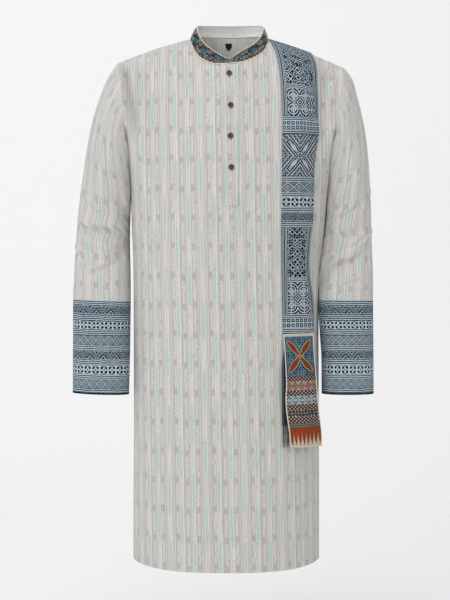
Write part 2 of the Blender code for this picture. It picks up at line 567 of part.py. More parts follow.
def placket():
    foot = row_at(True, 2.5, PLACKET_FOOT)
    rows = np.linspace(foot, 0.992, 14)
    left = lambda z: float(spline(PLACKET[:, 0], PLACKET[:, 1], z))
    right = lambda z: float(spline(PLACKET[:, 0], PLACKET[:, 2], z))
    outer, inner = strip(rows, left, right, 4, LIE, LIE + FOLDED)
    wall("placket_over", outer, inner, "cloth")
    rows = np.linspace(foot + 0.012, 0.975, 14)
    outer, inner = strip(rows, lambda z: left(z) + 0.003, lambda z: right(z) + 0.002, 4,
                         -CLOTH - 0.0022, -CLOTH - 0.0010)
    wall("placket_under", outer, inner, "cloth")


def button(name, x, z):
    r = row_at(True, 2.5, z)
    p, n = on_front(np.array([x]), r)
    p, n = p[0], n[0]
    side = unit(np.cross(n, np.array([0.0, 0.0, 1.0])))
    up = np.cross(side, n)
    base = p + n * (LIE + FOLDED + 0.00035)
    profile = [(0.0, 0.0), (0.80, 0.0), (1.0, 0.30), (1.0, 0.72), (0.88, 1.0), (0.70, 0.96), (0.58, 0.62), (0.0, 0.60)]
    count = 16
    verts, tris, rings = [], [], []
    for rad, high in profile:
        centre = base + n * high * BUTTON_HIGH
        if rad == 0:
            rings.append([len(verts)])
            verts.append(centre)
            continue
        rings.append(list(range(len(verts), len(verts) + count)))
        for j in range(count):
            a = 2 * math.pi * j / count
            verts.append(centre + BUTTON_R * rad * (math.cos(a) * side + math.sin(a) * up))
    for lo, hi in zip(rings, rings[1:]):
        for j in range(count):
            k = (j + 1) % count
            if len(lo) == 1:
                tris.append((lo[0], hi[k], hi[j]))
            elif len(hi) == 1:
                tris.append((hi[0], lo[j], lo[k]))
            else:
                tris += [(lo[j], lo[k], hi[k]), (lo[j], hi[k], hi[j])]
    add_solid(name, verts, tris, "button")


def neck_tab():
    """Small five-cornered tab inside the back neck."""
    outline = ((-0.0080, 0.975), (0.0066, 0.975), (0.0052, 0.945), (-0.0008, 0.925), (-0.0066, 0.945))
    a, b = [], []
    for x, r in outline:
        s = np.linspace(2.2, 2.8, 121)
        p, n = panel_face(False, s[None], np.array([[r]]))
        f = np.interp(x, p[0, :, 0], s)
        q, m = panel_face(False, np.array([[f]]), np.array([[r]]))
        a.append(q[0, 0] - m[0, 0] * (CLOTH + 0.0009))
        b.append(q[0, 0] - m[0, 0] * (CLOTH + 0.0017))
    tris = [(0, 1, 2), (0, 2, 4), (2, 3, 4)]
    tris += [(z + 5, y + 5, x + 5) for x, y, z in tris]
    for j in range(5):
        k = (j + 1) % 5
        tris += [(k, j, j + 5), (k, j + 5, k + 5)]
    add_solid("neck_label", a + b, tris, "black")


# ----------------------------------------------------------------- shoulder drape
# height, X of the loose right edge, how far that edge stands off the panel
DRAPE_EDGE = np.array([
    (-0.6060, 0.1700, 0.0200), (-0.5707, 0.1700, 0.0165), (-0.5244, 0.1668, 0.0125),
    (-0.4903, 0.1619, 0.0095), (-0.4641, 0.1602, 0.0085), (-0.4240, 0.1619, 0.0070),
    (-0.3809, 0.1669, 0.0062), (-0.3373, 0.1685, 0.0055), (-0.2970, 0.1688, 0.0050),
    (-0.2523, 0.1700, 0.0044), (-0.2111, 0.1762, 0.0040), (-0.1904, 0.1800, 0.0050),
    (-0.1599, 0.1785, 0.0036), (-0.0964, 0.1773, 0.0026), (-0.0507, 0.1753, 0.0016),
    (-0.0300, 0.1690, 0.0010), (-0.0100, 0.1686, 0.0008)])
DRAPE_FOOT = -0.6030
DRAPE_ROWS = [0.13, 0.26, 0.38, 0.48, 0.56, 0.64, 0.71, 0.78, 0.84, 0.89, 0.93, 0.965, 0.99, 1.0]
DRAPE_WALL = 0.0012
# the end panel, outer face: left X, Z, Y, right X, Z, Y
DRAPE_END = np.array([
    (0.1070, -0.60355, -0.1117, 0.1700, -0.60245, -0.0812),
    (0.1081, -0.6120, -0.1140, 0.1692, -0.6110, -0.0845),
    (0.1098, -0.6338, -0.1175, 0.1701, -0.6371, -0.0890),
    (0.1131, -0.6989, -0.1195, 0.1751, -0.6904, -0.0885),
    (0.1120, -0.7314, -0.1200, 0.1787, -0.7373, -0.0865),
    (0.1145, -0.7638, -0.1205, 0.1823, -0.7709, -0.0845),
    (0.1193, -0.7963, -0.1210, 0.1863, -0.7996, -0.0825),
    (0.1226, -0.8278, -0.1212, 0.1875, -0.8307, -0.0810)])
# the under-layer: left X, right X, Z
UNDER = np.array([(0.1120, 0.160, -0.6250), (0.1072, 0.161, -0.6532), (0.1062, 0.164, -0.7050),
                  (0.1062, 0.167, -0.7647), (0.1066, 0.169, -0.7850)])
FRINGE_STRANDS = 17
FRINGE_FOOT = -0.8310


def drape():
    low_rows = np.linspace(row_at(True, 3.3, DRAPE_FOOT), 0.0, 6)
    rows = np.concatenate([low_rows, DRAPE_ROWS])
    share = np.linspace(0, 1, 7)
    outer, inner = [], []
    for r in rows:
        p0, n0 = panel_face(True, np.array([[3.012, 3.5, 3.8]]), np.array([[r]]))
        z = p0[0, 1, 2] if r > 0.93 else p0[0, 2, 2] if r < 0 else p0[0, 1, 2]
        right = float(spline(DRAPE_EDGE[:, 0], DRAPE_EDGE[:, 1], z))
        stand = float(spline(DRAPE_EDGE[:, 0], DRAPE_EDGE[:, 2], z))
        xs = p0[0, 0, 0] + (right - p0[0, 0, 0]) * share
        p, n = on_front(xs, r)
        high = min(1.0, (1 - r) * 8)
        off = p + n * (LIE + 0.0003)
        off[:, 1] -= (stand - 0.0004) * share ** 1.6 * high + 0.0008 * np.sin(np.pi * share) * high
        off[:, 2] += 0.0006 * share * (1 - high)
        inner.append(off)
        facing = unit(n * np.array([0.5, 1.0, 1.0]))
        outer.append(off + facing * DRAPE_WALL)
    wall("stole_front", np.array(outer), np.array(inner), "indigo")


def end_face(u, w):
    """Outer face of the hanging end panel; u runs across, w from its top down."""
    num = np.arange(len(DRAPE_END))
    k = np.asarray(w) * (len(num) - 1)
    lx, lz, ly, rx, rz, ry = (spline(num, DRAPE_END[:, c], k) for c in range(6))
    x, z, y = lx + (rx - lx) * u, lz + (rz - lz) * u, ly + (ry - ly) * u
    w = np.asarray(w)
    y = y - 0.0046 * np.sin(np.pi * u) - 0.0016 * np.sin(3 * np.pi * u + 4 * w) * np.clip(4 * w, 0, 1)
    return np.stack(np.broadcast_arrays(x, y, z), axis=-1)


def end_normal(u, w):
    e = 1e-3
    du = end_face(np.minimum(u + e, 1), w) - end_face(np.maximum(u - e, 0), w)
    dw = end_face(u, np.minimum(w + e, 1)) - end_face(u, np.maximum(w - e, 0))
    n = unit(np.cross(dw, du))
    return np.where(n[..., 1:2] > 0, -n, n)


def under_face(x, z):
    """Where the under-layer hangs, 2.6 mm behind the end panel's outer face."""
    w = np.interp(-z, -DRAPE_END[:, 1], np.linspace(0, 1, len(DRAPE_END)))
    num = np.linspace(0, 1, len(DRAPE_END))
    left, right = spline(num, DRAPE_END[:, 0], w), spline(num, DRAPE_END[:, 3], w)
    u = np.clip((x - left) / (right - left), 0.0, 1)
    p = end_face(u, w)
    return np.array([x, p[..., 1] + 0.0027, z])


def drape_end():
    u, w = np.linspace(0, 1, 9)[None], np.linspace(0, 1, 13)[:, None]
    u, w = np.broadcast_arrays(u, w)
    p, n = end_face(u, w), end_normal(u, w)
    wall("stole_end", p, p - n * DRAPE_WALL, "rust")
    outer, inner = [], []
    for left, right, z in UNDER:
        row = np.array([under_face(x, z) for x in np.linspace(left, right, 6)])
        outer.append(row)
        inner.append(row + np.array([0, 0.0010, 0]))
    wall("stole_under", np.array(outer), np.array(inner), "deep")


def fringe():
    """A backing strip, and one four-sided tapering strand out of every other cell of its foot."""
    left, right, z0 = UNDER[-1]
    z0 -= 0.0004
    cells = 2 * FRINGE_STRANDS - 1
    xs = np.linspace(left, right, cells + 1)
    front = [[under_face(x, z) for x in xs] for z in (z0, z0 - 0.0026)]
    back = [[p + np.array([0, 0.0012, 0]) for p in row] for row in front]
    verts, tris = [], []

    def put(p):
        verts.append(p)
        return len(verts) - 1

    ft, fb = [put(p) for p in front[0]], [put(p) for p in front[1]]
    bt, bb = [put(p) for p in back[0]], [put(p) for p in back[1]]

    def quad(a, b, c, d):
        tris.extend([(a, b, c), (a, c, d)])

    for j in range(cells):
        quad(ft[j], ft[j + 1], fb[j + 1], fb[j])
        quad(bt[j + 1], bt[j], bb[j], bb[j + 1])
        quad(ft[j + 1], ft[j], bt[j], bt[j + 1])
        if j % 2:
            quad(fb[j], fb[j + 1], bb[j + 1], bb[j])
            continue
        ring = [fb[j], fb[j + 1], bb[j + 1], bb[j]]
        mid = sum(verts[i] for i in ring) / 4
        sway = 0.0011 * math.sin(j * 1.9)
        deep = 0.0004 * math.cos(j * 2.7)
        length = mid[2] - FRINGE_FOOT - 0.004 * (0.5 + 0.5 * math.sin(j * 2.3))
        for k in range(1, 6):
            f = k / 5
            size = 1.0 - 0.62 * f ** 1.5 if k < 5 else 0.22
            centre = mid + np.array([sway * f * (1.4 - 0.4 * k / 5), deep * f, -length * f])
            new = [put(centre + (verts[i] - mid) * np.array([size, size, 0.0])) for i in (fb[j], fb[j + 1], bb[j + 1], bb[j])]
            for a in range(4):
                b = (a + 1) % 4
                quad(ring[a], ring[b], new[b], new[a])
            ring = new
        quad(ring[0], ring[1], ring[2], ring[3])
    quad(ft[0], fb[0], bb[0], bt[0])
    quad(fb[-1], ft[-1], bt[-1], bb[-1])
    add_solid("stole_fringe", verts, tris, "deep")


# ----------------------------------------------------------------- build
for old in list(bpy.data.objects):
    bpy.data.objects.remove(old)
front_panels()
back_panel()
sleeves()
collar()
placket()
for number, (bx, bz) in enumerate(BUTTONS, 1):
    button("button_%d" % number, bx, bz)
neck_tab()
drape()
drape_end()
fringe()
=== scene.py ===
import json
import math

import bpy
import numpy as np
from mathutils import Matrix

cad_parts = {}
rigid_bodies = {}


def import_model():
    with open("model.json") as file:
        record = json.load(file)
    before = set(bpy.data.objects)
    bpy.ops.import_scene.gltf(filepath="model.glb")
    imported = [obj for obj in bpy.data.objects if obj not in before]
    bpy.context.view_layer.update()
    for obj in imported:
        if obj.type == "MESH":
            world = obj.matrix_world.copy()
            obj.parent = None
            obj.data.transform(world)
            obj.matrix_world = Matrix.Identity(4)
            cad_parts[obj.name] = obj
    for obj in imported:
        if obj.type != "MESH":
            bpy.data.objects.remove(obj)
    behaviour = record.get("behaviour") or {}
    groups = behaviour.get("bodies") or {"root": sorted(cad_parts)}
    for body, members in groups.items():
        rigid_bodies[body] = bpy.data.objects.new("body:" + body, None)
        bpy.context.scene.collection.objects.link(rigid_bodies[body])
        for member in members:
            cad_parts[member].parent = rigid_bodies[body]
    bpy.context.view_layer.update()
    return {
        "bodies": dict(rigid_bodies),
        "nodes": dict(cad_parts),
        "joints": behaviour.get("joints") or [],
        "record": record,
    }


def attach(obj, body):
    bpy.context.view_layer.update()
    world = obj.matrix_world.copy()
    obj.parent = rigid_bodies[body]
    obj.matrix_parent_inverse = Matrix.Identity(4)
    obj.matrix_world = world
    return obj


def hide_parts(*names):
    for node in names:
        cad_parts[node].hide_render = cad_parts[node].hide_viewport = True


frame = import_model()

# ----------------------------------------------------------------- dimensions, in metres
CLOTH = 0.0012          # wall of the main cloth
BAND = 0.0020           # two-layer band: collar
FOLDED = 0.0016         # folded strip: placket
CUFF_WALL = 0.0018      # two-layer band: cuff
DRAPE_WALL = 0.0012     # wall of the shoulder strip and its end
SEAM = 0.0005           # gap between pieces that a seam joins
LIE = 0.0004            # how far a piece lies above the cloth under it
VENT_GAP = 0.0024       # gap of the open side vents
SIDE_GAP = 0.00008      # gap of the closed side and shoulder seams
VENT_TOP = -0.86        # height where the side vents end
WAIST = -0.40           # above it each column of the body bends to the shoulder
HEM_SIDE = -1.070       # hem height at the side seams
HEM_DIP = 0.007         # how much lower the hem is at the middle of the panel
SLIT_FOOT = -0.338      # lowest point of the neck slit behind the placket
PIPING_R = 0.0010       # radius of the piping on the collar's top edge
PX = 0.00197            # cloth to one unit of the printed bands
PRINT_ROW, PRINT_Z = 250.0, -0.438   # a row of the strip's print and the height where it lies
SIDES = ("right", "left")
INWARD = {"right": 1.0, "left": -1.0}   # X direction from a sleeve to the body

# body, outer face: height, right side X, left side X, front Y, back Y, corner power;
# the rows go down from the armpits and are turned over, so that the heights rise
BODY = np.array([
    (-0.235, -0.2060, 0.2060, -0.124, 0.114, 2.20),
    (-0.300, -0.2026, 0.2030, -0.127, 0.118, 2.20),
    (-0.360, -0.2010, 0.2000, -0.128, 0.119, 2.22),
    (-0.400, -0.2000, 0.1962, -0.128, 0.119, 2.25),
    (-0.450, -0.1978, 0.1902, -0.127, 0.118, 2.28),
    (-0.500, -0.1970, 0.1868, -0.127, 0.118, 2.30),
    (-0.560, -0.1968, 0.1853, -0.127, 0.118, 2.30),
    (-0.700, -0.1968, 0.1858, -0.129, 0.120, 2.30),
    (-0.850, -0.1975, 0.1868, -0.131, 0.122, 2.30),
    (-0.950, -0.1985, 0.1872, -0.132, 0.124, 2.30),
    (-1.090, -0.1987, 0.1874, -0.133, 0.125, 2.30)])[::-1]

# front seam under the drape: height, X of the seam
FRONT_SEAM = np.array([(-1.090, 0.1075), (-0.830, 0.1070), (-0.600, 0.1055), (-0.400, 0.1022)])

# where a column stands on the waist ring, as a share of the half-width, at s = 0, 1, .. 5
COLUMN_SHARE = (-1.0, -0.83, -0.52, 0.5243, 0.83, 1.0)

# neck seam and collar top edge: base X, Y, Z, then top X, Y, Z, from the front
# middle round the wearer's right side and the back to the left side
COLLAR = np.array([
    (0.0000, -0.0822, -0.0646, 0.0000, -0.0690, -0.0512),
    (-0.0320, -0.0780, -0.0630, -0.0225, -0.0575, -0.0395),
    (-0.0542, -0.0620, -0.0503, -0.0410, -0.0440, -0.0250),
    (-0.0702, -0.0350, -0.0306, -0.0561, -0.0220, -0.0065),
    (-0.0785, -0.0030, -0.0045, -0.0655, 0.0060, 0.0193),
    (-0.0700, 0.0300, 0.0045, -0.0640, 0.0300, 0.0300),
    (-0.0480, 0.0540, 0.0080, -0.0480, 0.0490, 0.0350),
    (-0.0240, 0.0645, 0.0085, -0.0240, 0.0570, 0.0366),
    (0.0000, 0.0670, 0.0085, 0.0000, 0.0595, 0.0368),
    (0.0240, 0.0645, 0.0085, 0.0240, 0.0570, 0.0366),
    (0.0480, 0.0540, 0.0080, 0.0500, 0.0490, 0.0352),
    (0.0705, 0.0300, 0.0045, 0.0690, 0.0300, 0.0300),
    (0.0795, -0.0060, -0.0060, 0.0700, 0.0050, 0.0165),
    (0.0688, -0.0450, -0.0361, 0.0563, -0.0250, -0.0105),
    (0.0516, -0.0660, -0.0503, 0.0400, -0.0440, -0.0245),
    (0.0295, -0.0780, -0.0603, 0.0220, -0.0570, -0.0365)])
COLLAR_END = 0.0016     # share of the loop left open at each end of the band
COLLAR_LIFT = 0.0015    # the band starts this far above the neck edge

# sleeves, outer face: outer X, Z, inner X, Z, middle Y, half depth in Y
SLEEVES = {
    "right": np.array([
        (-0.2267, -0.0519, -0.2091, -0.2351, 0.000, 0.0740),
        (-0.2422, -0.0737, -0.2105, -0.2434, 0.000, 0.0740),
        (-0.2575, -0.0993, -0.2115, -0.2538, 0.000, 0.0735),
        (-0.2706, -0.1324, -0.2120, -0.2650, 0.002, 0.0725),
        (-0.2839, -0.1769, -0.2116, -0.2790, 0.003, 0.0700),
        (-0.2940, -0.2245, -0.2104, -0.2991, 0.004, 0.0660),
        (-0.3022, -0.2762, -0.2086, -0.3260, 0.005, 0.0610),
        (-0.3091, -0.3343, -0.2070, -0.3612, 0.006, 0.0560),
        (-0.3141, -0.3924, -0.2057, -0.4007, 0.004, 0.0500),
        (-0.3177, -0.4525, -0.2038, -0.4545, -0.004, 0.0450),
        (-0.3196, -0.5039, -0.2024, -0.5019, -0.013, 0.0410),
        (-0.3203, -0.5367, -0.2021, -0.5408, -0.019, 0.0385),
        (-0.3196, -0.6323, -0.2026, -0.6344, -0.032, 0.0350),
        (-0.3189, -0.7260, -0.2041, -0.7295, -0.045, 0.0330)]),
    "left": np.array([
        (0.2349, -0.0623, 0.2120, -0.2351, 0.000, 0.0740),
        (0.2515, -0.0840, 0.2132, -0.2434, 0.000, 0.0740),
        (0.2622, -0.1130, 0.2137, -0.2538, 0.000, 0.0735),
        (0.2730, -0.1521, 0.2136, -0.2650, 0.002, 0.0725),
        (0.2814, -0.1914, 0.2128, -0.2790, 0.003, 0.0700),
        (0.2875, -0.2348, 0.2112, -0.2991, 0.004, 0.0660),
        (0.2916, -0.2825, 0.2092, -0.3260, 0.005, 0.0610),
        (0.2946, -0.3343, 0.2062, -0.3612, 0.006, 0.0560),
        (0.2962, -0.3924, 0.2021, -0.3986, 0.004, 0.0500),
        (0.2966, -0.4525, 0.1962, -0.4525, -0.004, 0.0450),
        (0.2964, -0.5039, 0.1912, -0.5019, -0.013, 0.0410),
        (0.2959, -0.5387, 0.1896, -0.5377, -0.019, 0.0385),
        (0.2955, -0.6323, 0.1892, -0.6323, -0.032, 0.0350),
        (0.2950, -0.7281, 0.1889, -0.7281, -0.045, 0.0330)])}
SLEEVE_POWER = 2.15
CUFF_ROW, LAST_ROW = 11.0, 13.0      # table rows where the cuff band starts and ends
SLEEVE_WAIST = {"right": 0.0052, "left": 0.0022}   # how far the armhole bends in at its middle
GIRTH = 0.36            # girth of a sleeve, about: makes a turn round it a length

# creases of the sleeves: turn and height of one end, of the other, width, height of the ridge
CREASES = {
    "right": [
        (0.40, -0.372, 0.12, -0.398, 0.011, 0.0042), (0.36, -0.414, 0.17, -0.434, 0.010, 0.0034),
        (0.14, -0.345, 0.05, -0.372, 0.016, -0.0040), (0.42, -0.395, 0.20, -0.410, 0.010, -0.0030),
        (0.05, -0.420, 0.22, -0.470, 0.014, -0.0026), (0.30, -0.235, 0.12, -0.300, 0.020, 0.0026),
        (0.36, -0.150, 0.22, -0.250, 0.018, -0.0024), (0.60, -0.380, 0.88, -0.402, 0.013, 0.0036),
        (0.64, -0.425, 0.86, -0.446, 0.012, -0.0030), (0.70, -0.240, 0.88, -0.310, 0.020, -0.0030),
        (0.58, -0.480, 0.80, -0.505, 0.016, 0.0026)],
    "left": [
        (0.05, -0.474, 0.40, -0.412, 0.011, 0.0050), (0.07, -0.500, 0.30, -0.452, 0.015, -0.0045),
        (0.12, -0.430, 0.34, -0.388, 0.012, -0.0030), (0.10, -0.330, 0.30, -0.300, 0.016, 0.0028),
        (0.36, -0.160, 0.22, -0.260, 0.018, -0.0026), (0.14, -0.240, 0.20, -0.330, 0.018, -0.0030),
        (0.62, -0.392, 0.90, -0.372, 0.013, 0.0036), (0.60, -0.436, 0.86, -0.412, 0.012, -0.0030),
        (0.66, -0.250, 0.86, -0.330, 0.020, 0.0030), (0.90, -0.450, 0.70, -0.500, 0.016, 0.0024)]}
# small creases that only the shell has, with the same columns
SLEEVE_FINE = {
    "right": [
        (0.44, -0.378, 0.30, -0.392, 0.0046, 0.0030), (0.30, -0.408, 0.12, -0.424, 0.0044, 0.0027),
        (0.26, -0.384, 0.06, -0.404, 0.0044, 0.0026), (0.48, -0.430, 0.34, -0.446, 0.0050, 0.0024),
        (0.16, -0.300, 0.05, -0.350, 0.0070, 0.0022), (0.40, -0.334, 0.26, -0.356, 0.0060, 0.0018),
        (0.16, -0.452, 0.32, -0.480, 0.0050, 0.0018), (0.66, -0.392, 0.84, -0.410, 0.0060, 0.0022),
        (0.12, -0.362, 0.04, -0.384, 0.0040, 0.0020), (0.36, -0.418, 0.28, -0.436, 0.0040, 0.0016),
        (0.10, -0.150, 0.06, -0.250, 0.0060, 0.0016), (0.34, -0.560, 0.30, -0.500, 0.0060, 0.0012)],
    "left": [
        (0.10, -0.452, 0.34, -0.404, 0.0046, 0.0030), (0.08, -0.480, 0.26, -0.446, 0.0048, 0.0026),
        (0.30, -0.424, 0.46, -0.398, 0.0046, 0.0022), (0.08, -0.376, 0.28, -0.344, 0.0060, 0.0021),
        (0.34, -0.358, 0.46, -0.330, 0.0050, 0.0018), (0.12, -0.510, 0.32, -0.490, 0.0060, 0.0020),
        (0.08, -0.230, 0.16, -0.336, 0.0070, 0.0022), (0.66, -0.400, 0.86, -0.384, 0.0060, 0.0022),
        (0.06, -0.420, 0.18, -0.396, 0.0040, 0.0020), (0.20, -0.462, 0.30, -0.440, 0.0040, 0.0016),
        (0.10, -0.140, 0.07, -0.220, 0.0060, 0.0014), (0.30, -0.300, 0.40, -0.270, 0.0060, 0.0012)]}
FINE_RISE = 1.35        # how much deeper the small creases are than their table says
TROUGH = (-0.0085, 1.1, -0.6)        # the trough under each: how much lower, wider, and its height
# rows between which the inner side of a sleeve leans on the body: start, full, still full, end
LEAN = {"right": (0.1, 1.3, 5.6, 8.8), "left": (0.1, 1.3, 11.0, 12.4)}
# rows between which the outer side hangs a little nearer, and how much
HANG = {"right": (1.0, 7.4), "left": (1.0, 9.6)}
HANG_IN = 0.0022
CUFF_PRINT = 158.4      # length of the cuff's print round it, in its units

# soft folds of the body: X and Z of one end, of the other, width, height
FRONT_FOLDS = [
    (-0.190, -0.170, -0.165, -0.250, 0.016, 0.0030), (-0.172, -0.150, -0.150, -0.300, 0.018, -0.0022),
    (-0.080, -0.980, -0.072, -0.560, 0.024, 0.0022), (0.045, -1.060, 0.050, -0.640, 0.026, 0.0024),
    (-0.150, -1.060, -0.146, -0.700, 0.022, -0.0020), (0.160, -1.060, 0.150, -0.860, 0.016, -0.0022),
    (0.188, -0.200, 0.165, -0.330, 0.018, 0.0026), (-0.020, -1.060, -0.010, -0.760, 0.022, -0.0018),
    (-0.120, -0.420, -0.060, -0.520, 0.030, 0.0014), (0.010, -0.420, 0.060, -0.480, 0.028, -0.0014)]
BACK_FOLDS = [
    (-0.175, -0.160, -0.130, -0.300, 0.020, 0.0032), (0.178, -0.170, 0.140, -0.300, 0.020, 0.0030),
    (-0.110, -1.060, -0.100, -0.600, 0.026, 0.0026), (0.020, -1.060, 0.010, -0.480, 0.028, -0.0026),
    (0.120, -1.060, 0.112, -0.640, 0.024, 0.0028), (-0.040, -1.060, -0.030, -0.760, 0.022, 0.0020),
    (-0.060, -0.110, 0.060, -0.112, 0.018, -0.0016)]
# finer folds that only the shell has, with the same columns
FRONT_FINE = [
    (-0.200, -0.205, -0.176, -0.236, 0.007, 0.0012), (-0.196, -0.230, -0.168, -0.268, 0.007, 0.0011),
    (0.196, -0.215, 0.168, -0.262, 0.008, 0.0012), (-0.060, -0.120, -0.075, -0.300, 0.012, 0.0008),
    (0.045, -0.110, 0.058, -0.330, 0.012, 0.0008), (-0.110, -0.620, -0.104, -1.040, 0.012, 0.0010),
    (0.012, -0.560, 0.020, -1.050, 0.013, 0.0010), (0.078, -0.700, 0.082, -1.050, 0.011, -0.0009),
    (-0.045, -0.500, -0.050, -0.900, 0.012, 0.0008), (0.140, -0.900, 0.138, -1.050, 0.010, 0.0010),
    (-0.030, -0.360, 0.050, -0.380, 0.009, 0.0007), (-0.170, -0.420, -0.160, -0.640, 0.014, 0.0010)]
BACK_FINE = [
    (-0.190, -0.210, -0.140, -0.260, 0.008, 0.0012), (0.190, -0.210, 0.140, -0.262, 0.008, 0.0012),
    (-0.080, -0.500, -0.076, -1.050, 0.012, 0.0010), (0.060, -0.560, 0.056, -1.050, 0.013, 0.0010),
    (0.150, -0.700, 0.150, -1.050, 0.012, -0.0009), (-0.050, -0.060, 0.050, -0.064, 0.008, 0.0007),
    (-0.150, -0.800, -0.146, -1.050, 0.010, 0.0010), (0.000, -0.150, 0.004, -0.420, 0.014, 0.0009)]

# placket: height, X of the free edge, X of the sewn edge
PLACKET = np.array([
    (-0.352, -0.0093, 0.0179), (-0.286, -0.0105, 0.0180), (-0.184, -0.0137, 0.0182),
    (-0.122, -0.0157, 0.0184), (-0.060, -0.0168, 0.0184)])
PLACKET_FOOT = -0.3492
BUTTONS = ((0.0001, -0.0862), (0.0030, -0.1507), (0.0024, -0.2118), (0.0042, -0.2736))
BUTTON_R, BUTTON_HIGH = 0.0056, 0.0024

# shoulder strip: height, X of the loose right edge, how far that edge stands off the panel
DRAPE_EDGE = np.array([
    (-0.6060, 0.1700, 0.0200), (-0.5707, 0.1700, 0.0165), (-0.5244, 0.1668, 0.0125),
    (-0.4903, 0.1619, 0.0095), (-0.4641, 0.1602, 0.0085), (-0.4240, 0.1619, 0.0070),
    (-0.3809, 0.1669, 0.0062), (-0.3373, 0.1685, 0.0055), (-0.2970, 0.1688, 0.0050),
    (-0.2523, 0.1700, 0.0044), (-0.2111, 0.1762, 0.0040), (-0.1904, 0.1800, 0.0050),
    (-0.1599, 0.1785, 0.0036), (-0.0964, 0.1773, 0.0026), (-0.0507, 0.1753, 0.0016),
    (-0.0300, 0.1690, 0.0010), (-0.0100, 0.1686, 0.0008)])
DRAPE_FOOT = -0.6030
# the end panel, outer face: left X, Z, Y, right X, Z, Y
DRAPE_END = np.array([
    (0.1070, -0.60355, -0.1117, 0.1700, -0.60245, -0.0812),
    (0.1081, -0.6120, -0.1140, 0.1692, -0.6110, -0.0845),
    (0.1098, -0.6338, -0.1175, 0.1701, -0.6371, -0.0890),
    (0.1131, -0.6989, -0.1195, 0.1751, -0.6904, -0.0885),
    (0.1120, -0.7314, -0.1200, 0.1787, -0.7373, -0.0865),
    (0.1145, -0.7638, -0.1205, 0.1823, -0.7709, -0.0845),
    (0.1193, -0.7963, -0.1210, 0.1863, -0.7996, -0.0825),
    (0.1226, -0.8278, -0.1212, 0.1875, -0.8307, -0.0810)])
# the under-layer: left X, right X, Z
UNDER = np.array([
    (0.1120, 0.160, -0.6250), (0.1072, 0.161, -0.6532), (0.1062, 0.164, -0.7050),
    (0.1062, 0.167, -0.7647), (0.1066, 0.169, -0.7850)])
UNDER_BEHIND = 0.0027   # how far it hangs behind the end panel's outer face
FRINGE_STRANDS = 17
FRINGE_FOOT = -0.8310

# direction in which a column reaches its top edge, and how far it pulls: s, X, Y, Z, pull
ARRIVE = np.array([
    (0.00, -0.12, 0.00, 1.00, 0.90), (0.25, -0.25, -0.10, 0.95, 0.80), (0.50, -0.50, 0.00, 0.85, 0.60),
    (0.80, -0.72, 0.42, 0.45, 0.46), (1.00, -0.62, 0.76, 0.10, 0.50), (1.25, -0.30, 0.95, 0.10, 0.72),
    (1.50, -0.05, 1.00, 0.12, 0.90), (2.00, 0.25, 0.88, 0.40, 0.90), (2.20, 0.20, 0.66, 0.70, 0.90),
    (2.50, 0.00, 0.45, 0.90, 0.90), (2.80, -0.20, 0.66, 0.70, 0.90), (3.00, -0.25, 0.88, 0.40, 0.90),
    (3.50, 0.05, 1.00, 0.12, 0.90), (3.75, 0.30, 0.95, 0.10, 0.72), (4.00, 0.62, 0.76, 0.10, 0.50),
    (4.20, 0.72, 0.42, 0.45, 0.46), (4.50, 0.50, 0.00, 0.85, 0.60), (4.75, 0.25, -0.10, 0.95, 0.80),
    (5.00, 0.12, 0.00, 1.00, 0.90)])
# the same for the back, with Y turned over, and its own rows beside the neck
ARRIVE_BACK = ARRIVE * np.array([1, 1, -1, 1, 1])
ARRIVE_BACK[7:12] = [(2.00, 0.14, -0.93, 0.30, 0.90), (2.20, 0.10, -0.74, 0.62, 0.90),
                     (2.50, 0.00, -0.42, 0.91, 0.90), (2.80, -0.10, -0.74, 0.62, 0.90),
                     (3.00, -0.14, -0.93, 0.30, 0.90)]


# ----------------------------------------------------------------- curves
def ramp(x, lo, hi):
    """0 at lo, 1 at hi and straight between them; lo may be the larger."""
    return np.clip((x - lo) / (hi - lo), 0, 1)


def ease(share):
    return share * share * (3 - 2 * share)


def bump(x, width, power=2):
    """A soft hill: 1 at x = 0."""
    return np.exp(-(x / width) ** power)


def hermite(t, a, b, slope_a, slope_b):
    """Cubic from a to b that leaves and arrives at the given slopes."""
    return ((1 + 2 * t) * (1 - t) ** 2 * a + t * (1 - t) ** 2 * slope_a
            + t * t * (3 - 2 * t) * b + t * t * (t - 1) * slope_b)


def spline(xs, ys, x):
    """Cubic through the points (xs, ys), xs rising, read at x and held at the ends."""
    xs, ys = np.asarray(xs, float), np.asarray(ys, float)
    slope = np.gradient(ys, xs)
    x = np.clip(np.asarray(x, float), xs[0], xs[-1])
    i = np.clip(np.searchsorted(xs, x, side="right") - 1, 0, len(xs) - 2)
    h = xs[i + 1] - xs[i]
    return hermite((x - xs[i]) / h, ys[i], ys[i + 1], h * slope[i], h * slope[i + 1])


def read(table, at, *columns):
    """Columns of a table, read where its first column has the value at."""
    return [spline(table[:, 0], table[:, c], at) for c in columns]


def read_rows(table, k, *columns):
    """Columns of a table, read at the row k, which may lie between two rows."""
    return [spline(np.arange(len(table)), table[:, c], k) for c in columns]


def unit(v):
    return v / np.maximum(np.linalg.norm(v, axis=-1, keepdims=True), 1e-12)


def signed_power(v, p):
    return np.sign(v) * np.abs(v) ** p


def distances(points):
    """Distance along a path at each of its points."""
    return np.concatenate([[0], np.cumsum(np.linalg.norm(np.diff(points, axis=0), axis=1))])


def row_distances(grid):
    """Distance along each row of a grid of points."""
    step = np.linalg.norm(np.diff(grid, axis=1), axis=2)
    return np.concatenate([np.zeros((len(grid), 1)), np.cumsum(step, axis=1)], axis=1)


def between(at, xs, points):
    """Points of a polyline given by rising xs, read at the values at."""
    return np.stack([np.interp(at, xs, points[:, c]) for c in range(3)], axis=-1)


